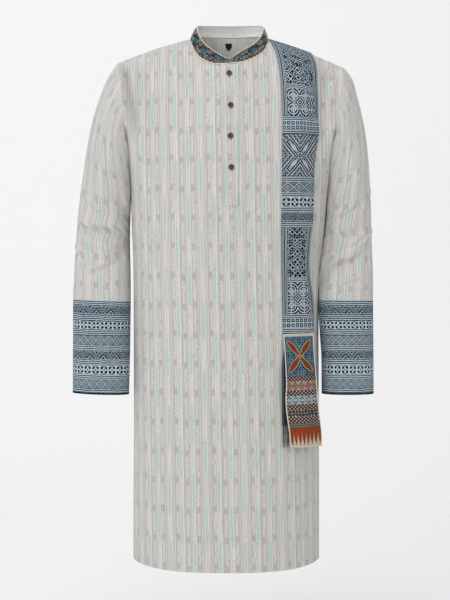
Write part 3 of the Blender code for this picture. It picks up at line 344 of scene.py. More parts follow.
def ridge(a, b, folds):
    """Height of the named folds at the flat place (a, b)."""
    height = np.zeros(np.broadcast(a, b).shape)
    for a0, b0, a1, b1, width, rise in folds:
        da, db = a1 - a0, b1 - b0
        along = ((a - a0) * da + (b - b0) * db) / (da * da + db * db)
        inside = np.clip(along, 0, 1)
        far = (a - a0 - inside * da) ** 2 + (b - b0 - inside * db) ** 2
        height = height + rise * np.exp(-far / (width * width)) * (1 - 0.35 * (2 * inside - 1) ** 2)
    return height


# ----------------------------------------------------------------- neck
def neck_loop(t, top=False):
    """Neck seam (or the collar's top edge) at the share t of the way round."""
    base = COLLAR[:, :3]
    far = distances(np.vstack([base, base[:1]]))
    far = far / far[-1]
    pts = COLLAR[:, 3:] if top else base
    n = len(pts)
    xs = np.concatenate([far[n - 3:n] - 1, far[:n], far[n] + far[:4]])
    order = np.arange(-3, n + 4) % n
    return np.stack([spline(xs, pts[order, c], t) for c in range(3)], axis=-1)


def neck_share(lo, hi):
    """Share of the loop, between lo and hi, where the neck meets the shoulder seam at Y = 0."""
    t = np.linspace(lo, hi, 1200)
    return float(t[np.argmin(np.abs(neck_loop(t)[:, 1]))])


NECK_RIGHT, NECK_LEFT = neck_share(0.12, 0.45), neck_share(0.55, 0.88)


# ----------------------------------------------------------------- form of the sleeves
def sleeve_point(side, turn, k):
    """Outer face of a sleeve; turn 0 is at the armpit, 0.25 in front, 0.5 outside."""
    ox, oz, ix, iz, my, deep = read_rows(SLEEVES[side], k, 0, 1, 2, 3, 4, 5)
    c = signed_power(np.cos(2 * np.pi * turn), 2 / SLEEVE_POWER)
    s = signed_power(np.sin(2 * np.pi * turn), 2 / SLEEVE_POWER)
    bend = SLEEVE_WAIST[side] * np.sin(2 * np.pi * turn) ** 2 * np.exp(-np.asarray(k) ** 2 / 3.0)
    x = (ox + ix) / 2 - (ox - ix) / 2 * c + INWARD[side] * bend
    z = (oz + iz) / 2 - (oz - iz) / 2 * c
    return np.stack(np.broadcast_arrays(x, my - deep * s, z), axis=-1)


def sleeve_normal(side, turn, k):
    e, f = 1e-4, 1e-3
    du = sleeve_point(side, turn + e, k) - sleeve_point(side, turn - e, k)
    low, high = np.maximum(k - f, 0), np.minimum(k + f, LAST_ROW)
    dv = sleeve_point(side, turn, high) - sleeve_point(side, turn, low)
    return unit(np.cross(du, dv)) * INWARD[side]


def sleeve_ridge(side, turn, k, folds):
    """Height of a sleeve's creases; they fade out at the armhole and the cuff."""
    oz, iz = read_rows(SLEEVES[side], k, 1, 3)
    flat = [(a0 * GIRTH, b0, a1 * GIRTH, b1, width, rise) for a0, b0, a1, b1, width, rise in folds]
    fade = ramp(k, 0, 1.5) * ramp(k, CUFF_ROW, CUFF_ROW - 0.8)
    return ridge(np.mod(turn, 1.0) * GIRTH, (oz + iz) / 2, flat) * fade


def sleeve_face(side, turn, k):
    """Outer face with its creases, and the outward direction there."""
    turn, k = np.broadcast_arrays(np.asarray(turn, float), np.asarray(k, float))
    n = sleeve_normal(side, turn, k)
    return sleeve_point(side, turn, k) + n * sleeve_ridge(side, turn, k, CREASES[side])[..., None], n


def sleeve_axis(side, k):
    """Direction across the ring, pointing down the sleeve."""
    k = np.asarray(k, float)
    across = sleeve_point(side, 0.5, k) - sleeve_point(side, 0.0, k)
    return unit(np.cross(across, np.array([0.0, 1.0, 0.0]))) * INWARD[side]


# ----------------------------------------------------------------- form of the body
def waist_ring(front, s, z):
    """Plain ring of the body at height z; s is 0 at the right side seam, 5 at the left."""
    s, z = np.broadcast_arrays(np.asarray(s, float), np.asarray(z, float))
    right, left, front_y, back_y, power = read(BODY, z, 1, 2, 3, 4, 5)
    mid, half = (left + right) / 2, (left - right) / 2
    share = [np.full(z.shape, q) for q in COLUMN_SHARE]
    share[3] = (spline(FRONT_SEAM[:, 0], FRONT_SEAM[:, 1], np.minimum(z, WAIST)) - mid) / half
    keys = np.stack([np.arccos(-signed_power(np.clip(q, -1, 1), power / 2)) for q in share])
    i = np.clip(np.floor(s).astype(int), 0, 4)
    f = s - i
    phi = (np.take_along_axis(keys, i[None], 0)[0] * (1 - f)
           + np.take_along_axis(keys, i[None] + 1, 0)[0] * f)
    x = mid - half * signed_power(np.cos(phi), 2 / power)
    deep = front_y if front else back_y
    return np.stack([x, deep * np.abs(np.sin(phi)) ** (2 / power), z], axis=-1)


def top_place(front, v):
    """One point of a body panel's top edge: armhole, shoulder seam, neck, and back down."""
    side, w = ("right", v) if v < 2.5 else ("left", 5 - v)
    back_off = sleeve_axis(side, 0.0) * SEAM * 0.6
    if w <= 1:
        return sleeve_point(side, 0.5 * w if front else 1 - 0.5 * w, 0.0) - back_off
    if w < 2:
        corner = sleeve_point(side, 0.5, 0.0) - back_off
        high = neck_loop(NECK_RIGHT if side == "right" else NECK_LEFT)
        return corner * (2 - w) + high * (w - 1) + np.array([0, 0, 0.0035 * math.sin(math.pi * (w - 1))])
    if front:
        return neck_loop(NECK_RIGHT * (2.5 - v) * 2 if v <= 2.5 else 1 - (1 - NECK_LEFT) * (v - 2.5) * 2)
    return neck_loop(NECK_RIGHT + (NECK_LEFT - NECK_RIGHT) * (v - 2))


TOP_S = np.linspace(0, 5, 1001)
TOPS = {front: np.array([top_place(front, v) for v in TOP_S]) for front in (True, False)}


def eased(table):
    """The top edge with its corners rounded off, which the panel follows away from the edge."""
    reach = np.linspace(-0.42, 0.42, 43)
    weight = bump(reach, 0.16)
    out = table.copy()
    for i, s in enumerate(TOP_S):
        near = s + reach * min(1.0, s / 0.6, (5 - s) / 0.6)
        out[i] = [np.average(np.interp(near, TOP_S, table[:, c]), weights=weight) for c in range(3)]
    return out


SOFT_TOPS = {front: eased(table) for front, table in TOPS.items()}


def panel_point(front, s, r):
    """Outer face of a body panel; r is -1 at the hem, 0 at the waist ring, 1 at the top."""
    s, r = np.broadcast_arrays(np.asarray(s, float), np.asarray(r, float))
    reach = (WAIST - HEM_SIDE) + HEM_DIP * np.sin(np.pi * s / 5)
    low = waist_ring(front, s, WAIST + np.minimum(r, 0) * reach)
    start = waist_ring(front, s, np.full(s.shape, WAIST))
    slope = (waist_ring(front, s, np.full(s.shape, WAIST + 0.01))
             - waist_ring(front, s, np.full(s.shape, WAIST - 0.01))) / 0.02
    end = between(s, TOP_S, SOFT_TOPS[front])
    rest = between(s, TOP_S, TOPS[front]) - end
    x, y, z, pull = read(ARRIVE if front else ARRIVE_BACK, s, 1, 2, 3, 4)
    dist = np.linalg.norm(end - start, axis=-1, keepdims=True)
    arrive = unit(np.stack([x, y, z], axis=-1)) * dist * pull[..., None]
    v = np.clip(r, 0, 1)[..., None]
    high = hermite(v, start, end, slope * dist, arrive) + rest * v ** 7
    return np.where((r > 0)[..., None], high, low)


def away_from_edges(s, r):
    """1 on a panel, falling to 0 at its side seams and its top."""
    return np.clip(np.minimum(s, 5 - s) / 0.5, 0, 1) * np.clip((1 - r) / 0.25, 0, 1)


def panel_face(front, s, r):
    """Outer face with its soft folds, and the outward direction there."""
    s, r = np.broadcast_arrays(np.asarray(s, float), np.asarray(r, float))
    p = panel_point(front, s, r)
    e = 2e-3
    du = panel_point(front, np.minimum(s + e, 5), r) - panel_point(front, np.maximum(s - e, 0), r)
    dv = panel_point(front, s, np.minimum(r + e, 1)) - panel_point(front, s, np.maximum(r - e, -1))
    n = unit(np.cross(du, dv)) * (1 if front else -1)
    top = r > 1 - 1e-6
    seam = (s < 1e-6) | (s > 5 - 1e-6) | (top & (((s > 0.999) & (s < 2)) | ((s > 3) & (s < 4.001))))
    n = unit(np.where(seam[..., None], n * np.array([1.0, 0.0, 1.0]), n))
    for side, near in (("right", s < 1.001), ("left", s > 3.999)):
        axis = sleeve_axis(side, 0.0)
        back = np.minimum((n * axis).sum(-1, keepdims=True), 0) * axis
        n = np.where((near & top)[..., None], unit(n - back), n)
    high = ridge(p[..., 0], p[..., 2], FRONT_FOLDS if front else BACK_FOLDS) * away_from_edges(s, r)
    return p + n * high[..., None], n


# the front worked out once on a fine grid, and read between its points
GRID_S = np.linspace(1.0, 4.6, 241)
GRID_R = np.concatenate([np.linspace(-1, 0, 120, endpoint=False), np.linspace(0, 1, 361)])
GRID_P, GRID_N = panel_face(True, GRID_S[None], GRID_R[:, None])
COLUMNS = {}


def on_front(xs, r):
    """Front face at given X in the row r: points and outward directions."""
    i = int(np.clip(np.searchsorted(GRID_R, r, side="right") - 1, 0, len(GRID_R) - 2))
    f = (r - GRID_R[i]) / (GRID_R[i + 1] - GRID_R[i])
    p = GRID_P[i] * (1 - f) + GRID_P[i + 1] * f
    n = GRID_N[i] * (1 - f) + GRID_N[i + 1] * f
    order = np.argsort(p[:, 0])
    x = p[order, 0]
    return between(xs, x, p[order]), unit(between(xs, x, n[order]))


def row_at(front, s, z):
    """Row r where the column s is at height z."""
    if (front, s) not in COLUMNS:
        r = np.concatenate([np.linspace(-1, 0, 60), np.linspace(0, 1, 160)[1:]])
        COLUMNS[front, s] = (r, panel_point(front, np.full(r.shape, float(s)), r)[:, 2])
    r, h = COLUMNS[front, s]
    return float(np.interp(z, h, r))


def strip(rows, left, right, count, low, high):
    """Outer and inner grid of a strip low to high above the front, between two X by height."""
    outer, inner = [], []
    for r in rows:
        z = on_front(np.array([(left(-0.2) + right(-0.2)) / 2]), r)[0][0, 2]
        p, n = on_front(np.linspace(left(z), right(z), count), r)
        inner.append(p + n * low)
        outer.append(p + n * high)
    return np.array(outer), np.array(inner)


# ----------------------------------------------------------------- form of the strip's end
def print_row(z):
    """Row of the strip's print at a height where the strip hangs straight."""
    return PRINT_ROW - (z - PRINT_Z) / PX


def end_face(u, w):
    """Outer face of the hanging end panel; u runs across, w from its top down."""
    w = np.asarray(w)
    lx, lz, ly, rx, rz, ry = read_rows(DRAPE_END, w * (len(DRAPE_END) - 1), 0, 1, 2, 3, 4, 5)
    x, z, y = lx + (rx - lx) * u, lz + (rz - lz) * u, ly + (ry - ly) * u
    y = y - 0.0046 * np.sin(np.pi * u) - 0.0016 * np.sin(3 * np.pi * u + 4 * w) * np.clip(4 * w, 0, 1)
    return np.stack(np.broadcast_arrays(x, y, z), axis=-1)


def end_normal(u, w):
    e = 1e-3
    du = end_face(np.minimum(u + e, 1), w) - end_face(np.maximum(u - e, 0), w)
    dw = end_face(u, np.minimum(w + e, 1)) - end_face(u, np.maximum(w - e, 0))
    n = unit(np.cross(dw, du))
    return np.where(n[..., 1:2] > 0, -n, n)


def end_line(u, w, lift):
    """Points a little off the end panel's face."""
    u, w = np.broadcast_arrays(u, w)
    return end_face(u, w) + end_normal(u, w) * lift


def under_face(x, z):
    """Where the under-layer hangs, behind the end panel."""
    rows = len(DRAPE_END) - 1
    w = np.interp(-z, -DRAPE_END[:, 1], np.linspace(0, 1, rows + 1))
    left, right = read_rows(DRAPE_END, w * rows, 0, 3)
    p = end_face(np.clip((x - left) / (right - left), 0.0, 1), w)
    return np.array([x, p[..., 1] + UNDER_BEHIND, z])


# ----------------------------------------------------------------- numbers worked out by shader nodes
class Num:
    """A number that a material works out at each point of the surface."""

    def __init__(self, tree, socket):
        self.tree, self.socket = tree, socket


# + - * / between two of these, or one of these and a plain number on either side
for sign, op in (("add", "ADD"), ("sub", "SUBTRACT"), ("mul", "MULTIPLY"), ("truediv", "DIVIDE")):
    setattr(Num, "__%s__" % sign, lambda a, b, op=op: calc(op, a, b))
    setattr(Num, "__r%s__" % sign, lambda a, b, op=op: calc(op, b, a))


def new_node(tree, kind, inputs, out=0, **settings):
    """Adds a shader node, fills its inputs with numbers or links, and returns one output."""
    node = tree.nodes.new("ShaderNode" + kind)
    for key, value in settings.items():
        setattr(node, key, value)
    for key, value in inputs.items():
        if isinstance(value, Num):
            value = value.socket
        if isinstance(value, bpy.types.NodeSocket):
            tree.links.new(value, node.inputs[key])
        else:
            node.inputs[key].default_value = value
    return node.outputs[out]


def worked(kind, inputs, out=0, **settings):
    """The number that a new node works out; at least one input is such a number."""
    tree = next(a.tree for a in inputs.values() if isinstance(a, Num))
    return Num(tree, new_node(tree, kind, inputs, out, **settings))


def calc(op, *args):
    return worked("Math", dict(enumerate(args)), operation=op)


def smooth(x, lo, hi):
    """0 at lo, 1 at hi, eased between them; lo may be the larger."""
    return worked("MapRange", {0: x, 1: lo, 2: hi, 3: 0.0, 4: 1.0}, interpolation_type="SMOOTHSTEP")


def place_of(x, y):
    return worked("CombineXYZ", {0: x, 1: y})


def chance(x, y):
    """A random number, 0 to 1, for each whole x and y."""
    return worked("TexWhiteNoise", {"Vector": place_of(x, y)}, "Value", noise_dimensions="2D")


def noise(x, y, scale, detail=2.0, rough=0.5):
    """Soft noise about 0.5, over the plane x, y."""
    inputs = {"Vector": place_of(x, y), "Scale": scale, "Detail": detail, "Roughness": rough}
    return worked("TexNoise", inputs, noise_dimensions="2D")


def size(x):
    return calc("ABSOLUTE", x)


def tri(x, period):
    """Distance from x to the nearest multiple of the period."""
    return calc("PINGPONG", x, period / 2)


def most(a, b):
    return calc("MAXIMUM", a, b)


def least(a, b):
    return calc("MINIMUM", a, b)


def line(far, width, soft=0.14):
    """1 where the distance far is under half the width."""
    return smooth(far, width / 2 + soft, width / 2 - soft)


def band(t, lo, hi):
    return calc("COMPARE", t, (lo + hi) / 2, (hi - lo) / 2)


def stack(t, layers):
    """Each layer is lo, hi and what shows between them."""
    total = None
    for lo, hi, motif in layers:
        here = band(t, lo, hi)
        total = here * motif if total is None else calc("MULTIPLY_ADD", here, motif, total)
    return total


def long(a, b):
    return calc("SQRT", a * a + b * b)


# ----------------------------------------------------------------- motifs, in units of PX
def rules(t, start, count, period=1.85, width=0.85):
    """A few pale rules one below the other."""
    return line(tri(t - start, period), width) * band(t, start - period / 2, start + (count - 0.5) * period)


def maze(x, y, cell, mirror=None):
    """Short strokes that lean one way or the other, with dots where they miss."""
    a = size(x - mirror) if mirror is not None else x
    i, j = calc("FLOOR", a / cell), calc("FLOOR", y / cell)
    f, g = calc("FRACT", a / cell), calc("FRACT", y / cell)
    lean = calc("GREATER_THAN", chance(i, j), 0.5)
    down = size(f - g)
    up = size(f + g - 1.0)
    far = down + (up - down) * lean
    stroke = line(far, 0.40, 0.08)
    dot = line(long(f - 0.5, g - 0.5), 0.34, 0.08)
    cut = calc("LESS_THAN", chance(i + 17.0, j), 0.80)
    return most(stroke * cut, dot)


def crosses(x, t, mid, period, high):
    """Dark four-petalled flowers on a pale ground, and a dark bead between each two."""
    a = tri(x, period)
    b = size(t - mid)
    tip = high * 0.46
    off = size(a - b) * 0.71
    out = (a + b) * 0.5
    fat = smooth(out, 0.55, 1.7) * smooth(out, tip, tip * 0.62)
    petal = smooth(off, fat * 1.55 + 0.02, fat * 1.25 - 0.12)
    seed = line(size(a + b - 0.2), 0.7)
    gap = a * -1.0 + period / 2
    side = most(line(gap + b * 0.7, 1.9), line(gap + size(b - tip) * 0.8, 1.3))
    return 1.0 - most(most(petal, seed), side)


def lattice(x, t, mid, period, high):
    """Pale double diagonals, a small lozenge in each opening, and a dot in it."""
    a = tri(x, period) / (period / 2)
    b = size(t - mid) / (high / 2)
    cross = size(a - b)
    two = line(size(cross - 0.13), 0.14, 0.05)
    inner = line(size((1.0 - a) + b - 0.42), 0.16, 0.06)
    dot = line((1.0 - a) + b, 0.24, 0.06)
    top = line(size((1.0 - b) + a - 0.40), 0.14, 0.06)
    return most(most(two, inner), most(dot, top))


def peaks(x, t, lo, hi, period):
    """Peaks outlined in dots, one inside the other, and a row of seeds along the foot."""
    a = tri(x, period) * (2.0 / period)
    b = (hi - 1.6 - t) / (hi - lo - 2.2)
    far = size(b - (1.0 - a))
    dots = line(tri(t + x * 0.5, 1.15), 0.70, 0.16)
    outline = line(size(far - 0.16), 0.13, 0.06) * dots
    inner = line(size(b + a * 1.3 - 0.42), 0.13, 0.05)
    other = line(size((1.0 - b) + (1.0 - a) * 1.3 - 0.50), 0.13, 0.05)
    seeds = line(size(t - hi + 0.9), 0.85) * line(tri(x, 1.6), 0.95, 0.2)
    rim = line(size(t - lo - 0.6), 0.6) * line(tri(x, 1.2), 0.75, 0.2)
    return most(most(outline, most(inner, other)), most(seeds, rim))


def boxes(x, t, mid, cell=4.5):
    """Two rows of small boxes with a bead in each."""
    a = tri(x, cell)
    b = tri(t - mid, cell)
    frame = most(line(a, 1.0), line(b, 1.0))
    return most(frame, line((a * -1.0 + cell / 2) + (b * -1.0 + cell / 2), 1.9))


def flower_square(x, t, cx, ct, half):
    """A square of frame lines run out to the edges, a rayed flower in it, arcs in the corners."""
    a, b = size(x - cx), size(t - ct)
    fa, fb = size(a - half), size(b - half)
    frame = most(line(fa, 1.05), line(fb, 1.05))
    rays = line(tri(a + b - 0.3, 2.9), 1.05)
    seed = line(a + b, 1.9)
    knot = long(a - half * 0.60, b - half * 0.60)
    curl = most(line(size(knot - 1.7), 0.85), line(knot, 0.9))
    arcs = line(tri(long(fa, fb) + 0.4, 2.7), 1.0) * smooth(long(fa, fb), 0.9, 1.3)
    outside = calc("GREATER_THAN", most(a, b), half)
    inside = most(rays * smooth(knot, 2.2, 2.5), most(seed, curl))
    return frame, most(inside + (arcs - inside) * outside, frame)


def leaf(x, t, ax, at, bx, bt, fat):
    """Signed distance, about, from a leaf that runs from a to b; under 0 inside."""
    dx, dt = bx - ax, bt - at
    length = math.hypot(dx, dt)
    along = ((x - ax) * dx + (t - at) * dt) / (length * length)
    across = size((x - ax) * (dt / length) - (t - at) * (dx / length))
    clear = least(most(along, 0.0), 1.0)
    wide = calc("SINE", calc("POWER", clear, 0.8) * math.pi) * fat
    return across - wide + size(along - clear) * length


def batik_cuff(x, t):
    """Bands of the cuff; t is 0 at the upper edge, 95 at the mouth."""
    return stack(t, [
        (-1.0, 5.6, rules(t, 0.5, 3, 1.95)), (5.6, 15.0, peaks(x, t, 5.6, 15.0, 14.4)),
        (15.0, 21.8, rules(t, 16.2, 3, 2.0)), (21.8, 30.0, crosses(x, t, 25.9, 8.8, 8.2)),
        (30.0, 36.6, rules(t, 31.4, 3, 1.95)), (36.6, 46.2, lattice(x, t, 41.4, 8.8, 9.6)),
        (46.2, 52.0, rules(t, 47.2, 3, 1.9)), (52.0, 61.6, peaks(x + 7.2, t, 52.0, 61.6, 14.4)),
        (61.6, 67.4, rules(t, 62.5, 3, 1.95)), (67.4, 76.2, crosses(x + 4.4, t, 71.8, 8.8, 8.8)),
        (76.2, 81.8, rules(t, 77.2, 3, 1.9)), (81.8, 91.0, lattice(x + 2.0, t, 86.4, 8.8, 9.2)),
        (91.0, 97.0, rules(t, 92.0, 2, 2.0))])


def batik_strip(x, w, t):
    """Bands of the shoulder strip: x from its left edge, w from its right, t down it."""
    edge = least(x, w)
    slants = line(tri(edge * 1.1 + t, 1.9), 0.95) * line(size(edge - 1.3), 2.0, 0.2)
    rail = line(size(size(edge - 4.6) - 0.75), 0.62)
    border = 6.2            # width of the border down each side
    side = most(slants, rail) * calc("LESS_THAN", edge, border)
    core = calc("GREATER_THAN", edge, border)
    frame1, square1 = flower_square(x, t, 19.2, 100.2, 7.1)
    frame2, square2 = flower_square(x, t, 16.8, 297.6, 7.3)
    mid_x, mid_t = 19.0, 154.2      # middle of the four-leaved figure
    a, b = size(x - mid_x), size(t - mid_t)
    petals = None
    for sx, st in ((-1, -1), (1, -1), (-1, 1), (1, 1)):
        far = leaf(x, t, mid_x + sx * 3.3, mid_t + st * 3.8, mid_x + sx * 11.6, mid_t + st * 13.6, 1.75)
        petals = far if petals is None else least(petals, far)
    arms = size(a * 0.77 - b * 0.64)
    arm_half, reach = 5.9, 21.2
    contour = line(tri(most(arms - 1.0, long(a, b) - 18.2), 2.25), 0.72) * calc("LESS_THAN", arms, arm_half)
    contour = contour * calc("LESS_THAN", long(a, b), reach)
    beads = line(long(tri(x + 0.4, 1.7), tri(t, 1.7)), 0.85)
    heart = most(line(size(most(a, b) - 2.1), 0.6), line(a + b, 1.5))
    outer = most(calc("GREATER_THAN", arms, arm_half), calc("GREATER_THAN", long(a, b), reach))
    arrow = line(tri(arms - arm_half, 3.4), 0.62)
    four = most(contour, most(beads, arrow) * outer)
    four = most(four * smooth(petals, 0.25, 0.95), line(petals, 0.2, 0.3))
    four = most(four * calc("GREATER_THAN", most(a, b), 2.6), heart)
    pink = most(most(frame1 * band(t, 86.5, 114.0), frame2 * band(t, 281.6, 313.4)) * core,
                line(petals, 0.2, 0.3) * band(t, 133.0, 175.4))
    def bordered(motif):
        return most(side, motif * core)

    ink = stack(t, [
        (0.0, 81.0, bordered(maze(x, t, 2.75, 19.0))), (81.0, 86.5, bordered(rules(t, 82.0, 3, 1.9))),
        (86.5, 114.0, bordered(square1)), (114.0, 119.2, rules(t, 115.2, 3, 1.8)),
        (119.2, 128.0, boxes(x, t, 123.6)), (128.0, 132.6, rules(t, 129.0, 2, 2.0)),
        (132.6, 175.6, four), (175.6, 181.0, rules(t, 176.4, 3, 1.9)),
        (181.0, 190.8, lattice(x, t, 185.9, 12.4, 9.8)), (190.8, 196.0, rules(t, 191.6, 3, 1.85)),
        (196.0, 205.6, crosses(x, t, 200.8, 9.4, 9.4)), (205.6, 211.0, rules(t, 206.6, 3, 1.85)),
        (211.0, 220.4, peaks(x, t, 211.0, 220.4, 12.0)), (220.4, 226.0, rules(t, 221.4, 3, 1.85)),
        (226.0, 276.6, bordered(maze(x, t, 2.75, 17.0))),
        (276.6, 281.6, bordered(rules(t, 277.4, 3, 1.75))),
        (281.6, 313.4, bordered(square2)), (313.4, 317.6, rules(t, 314.4, 2, 1.9)),
        (317.6, 327.6, boxes(x + 1.0, t, 322.6, 4.8)), (327.6, 334.0, rules(t, 328.4, 3, 1.9))])
    return ink, pink


def checker(x, t, cell=1.35):
    """Small alternate squares: pale 1, dark 0."""
    a, b = calc("FLOOR", x / cell), calc("FLOOR", t / cell)
    return tri(a + b, 2.0)


# ----------------------------------------------------------------- meshes
def add_object(name, data):
    obj = bpy.data.objects.new(name, data)
    bpy.context.scene.collection.objects.link(obj)
    return obj


def make(name, verts, faces, uvs=None, uv2=None, mats=(), which=None, crisp=48.0):
    """One piece; uvs and uv2 hold a pair for each corner of each face."""
    mesh = bpy.data.meshes.new(name)
    mesh.from_pydata(np.asarray(verts, float).tolist(), [], [tuple(int(i) for i in f) for f in faces])
    for label, data in (("cloth", uvs), ("across", uv2)):
        if data is not None:
            layer = mesh.uv_layers.new(name=label)
            layer.data.foreach_set("uv", np.asarray(data, float).reshape(-1))
    for m in mats:
        mesh.materials.append(m)
    if which is not None:
        mesh.polygons.foreach_set("material_index", np.asarray(which, int))
    mesh.polygons.foreach_set("use_smooth", np.ones(len(mesh.polygons), bool))
    mesh.set_sharp_from_angle(angle=math.radians(crisp))
    mesh.update()
    return add_object(name, mesh)


def shell(name, outer, inner, uv, mats, wrap=False, keep=None, uv2=None, crisp=48.0):
    """Closed wall between two grids; uv is a grid of pairs, one column wider where it wraps."""
    rows, cols = outer.shape[:2]
    n = rows * cols
    i, j = np.meshgrid(np.arange(rows - 1), np.arange(cols if wrap else cols - 1), indexing="ij")
    i, j = i.ravel(), j.ravel()
    if keep is not None:
        good = keep[i, j]
        i, j = i[good], j[good]
    k = (j + 1) % cols
    quad = np.stack([i * cols + j, i * cols + k, (i + 1) * cols + k, (i + 1) * cols + j], axis=1)
    spots = np.stack([np.stack([i, j], 1), np.stack([i, j + 1], 1), np.stack([i + 1, j + 1], 1),
                      np.stack([i + 1, j], 1)], axis=1)
    a, b, c = (outer.reshape(-1, 3)[quad[:, q]] for q in (0, 1, 2))
    mid = (outer - inner).reshape(-1, 3)[quad[:, 0]]
    flip = (np.cross(b - a, c - b) * mid).sum() < 0
    if flip:
        quad, spots = quad[:, ::-1], spots[:, ::-1]
    edges = {}
    for q, sp in zip(quad.tolist(), spots.tolist()):
        for e in range(4):
            f = (e + 1) % 4
            key = (min(q[e], q[f]), max(q[e], q[f]))
            if key in edges:
                del edges[key]
            else:
                edges[key] = (q[e], q[f], sp[e], sp[f])
    faces = [tuple(q) for q in quad.tolist()] + [tuple(v + n for v in q[::-1]) for q in quad.tolist()]
    corner = [sp for sp in spots.tolist()] + [sp[::-1] for sp in spots.tolist()]
    which = [0] * len(quad) + [min(1, len(mats) - 1)] * len(quad)
    for x, y, sx, sy in edges.values():
        faces.append((y, x, x + n, y + n))
        corner.append([sy, sx, sx, sy])
        which.append(0)
    corner = np.array(corner)
    pairs = uv[corner[..., 0], corner[..., 1]]
    pairs2 = None if uv2 is None else uv2[corner[..., 0], corner[..., 1]]
    verts = np.vstack([outer.reshape(-1, 3), inner.reshape(-1, 3)])
    return make(name, verts, faces, pairs, pairs2, mats, which, crisp)


def rope(paths, radius, sides, name, mats, taper=None):
    """Tubes along several paths as one piece; each path is an array of points."""
    verts, faces, uvs = [], [], []
    for path in paths:
        path = np.asarray(path, float)
        m = len(path)
        along = unit(np.gradient(path, axis=0))
        ref = np.array([0.0, 0.0, 1.0]) if abs(along[:, 2]).mean() < 0.8 else np.array([0.0, 1.0, 0.0])
        one = unit(np.cross(along, ref))
        two = np.cross(along, one)
        far = distances(path)
        base = len(verts)
        radii = np.full(m, radius) if taper is None else radius * taper(np.linspace(0, 1, m))
        for q in range(m):
            for s in range(sides):
                a = 2 * math.pi * s / sides
                verts.append(path[q] + radii[q] * (math.cos(a) * one[q] + math.sin(a) * two[q]))
        for q in range(m - 1):
            low, high = base + q * sides, base + (q + 1) * sides
            for s in range(sides):
                t = (s + 1) % sides
                faces.append((low + s, low + t, high + t, high + s))
                u0, u1 = s / sides * 0.01, (s + 1) / sides * 0.01
                uvs += [(u0, far[q]), (u1, far[q]), (u1, far[q + 1]), (u0, far[q + 1])]
        for q, order in ((0, -1), (m - 1, 1)):
            faces.append(tuple(base + q * sides + s for s in range(sides))[::order])
            uvs += [(0.0, far[q])] * sides
    return make(name, verts, faces, uvs, mats=mats, crisp=60.0)


# ----------------------------------------------------------------- body
def flat_table(front):
    """Distance round the waist ring from the middle, against X."""
    s = np.linspace(0, 5, 401)
    p = panel_point(front, s[None], np.array([[0.0]]))
    x, far = p[0, :, 0], distances(p[0])
    steep = np.clip(np.gradient(far, x), 1.0, 1.22)
    soft = np.concatenate([[0], np.cumsum((steep[1:] + steep[:-1]) / 2 * np.diff(x))])
    return x, soft - np.interp(0.0, x, soft)


def panel_uv(front, p, full):
    """Flat place of each point: along the ring from the middle, and down from the shoulder."""
    far = row_distances(full)
    mid = np.array([np.interp(0.0, full[i, :, 0], far[i]) for i in range(len(far))])
    ring = np.array([np.interp(p[i, :, 0], full[i, :, 0], far[i]) - mid[i] for i in range(len(far))])
    x, soft = flat_table(front)
    other = np.interp(p[..., 0], x, soft) + (p[..., 0] - np.clip(p[..., 0], x[0], x[-1]))
    share = ease(ramp(p[..., 2], -0.44, -0.28))
    u = ring * (1 - share) + other * share
    step = np.hypot(np.diff(p[..., 1], axis=0), np.diff(p[..., 2], axis=0))
    down = np.concatenate([np.zeros((1, p.shape[1])), np.cumsum(step, axis=0)], axis=0)
    straight = -0.42        # below this height the cloth hangs straight
    v = np.where(p[..., 2] < straight, -p[..., 2], 0.0)
    for j in range(p.shape[1]):
        i = int(np.argmax(p[:, j, 2] >= straight))
        v[i:, j] = -p[i, j, 2] - (down[i:, j] - down[i, j])
    return np.stack([u, v], axis=-1)


def rows_between(marks, counts):
    out = [np.linspace(a, b, c, endpoint=False) for a, b, c in zip(marks, marks[1:], counts)]
    return np.concatenate(out + [[marks[-1]]])


def fine_folds(front, p, n, share):
    """Points moved out by the finer folds, as far as share says."""
    high = ridge(p[..., 0], p[..., 2], FRONT_FINE if front else BACK_FINE)
    return p + n * (high * share)[..., None]


def panel_shell(front, s, r):
    """Outer and inner points of a panel."""
    s2, r2 = np.broadcast_arrays(np.asarray(s)[None], np.asarray(r)[:, None])
    p, n = panel_face(front, s2, r2)
    under_drape = front & (np.abs(s2 - 3.0) < 0.9) & (p[..., 2] > -0.66)
    p = fine_folds(front, p, n, np.where(under_drape, 0.0, away_from_edges(s2, r2)))
    gap = SIDE_GAP + (VENT_GAP - SIDE_GAP) * ramp(p[..., 2], VENT_TOP, VENT_TOP - 0.03)
    at_side = (s2 < 1e-6) | (s2 > 5 - 1e-6)
    at_top = (r2 > 1 - 1e-6) & (s2 > 0.999) & (s2 < 4.001)
    hold = at_side | (at_top & ((s2 <= 2 + 1e-6) | (s2 >= 3 - 1e-6)))
    seam_y = (-1 if front else 1) * gap / 2
    p[..., 1] = np.where(hold, seam_y, p[..., 1])
    inner = p - n * CLOTH
    inner[..., 1] = np.where(hold, seam_y, inner[..., 1])
    return p, inner


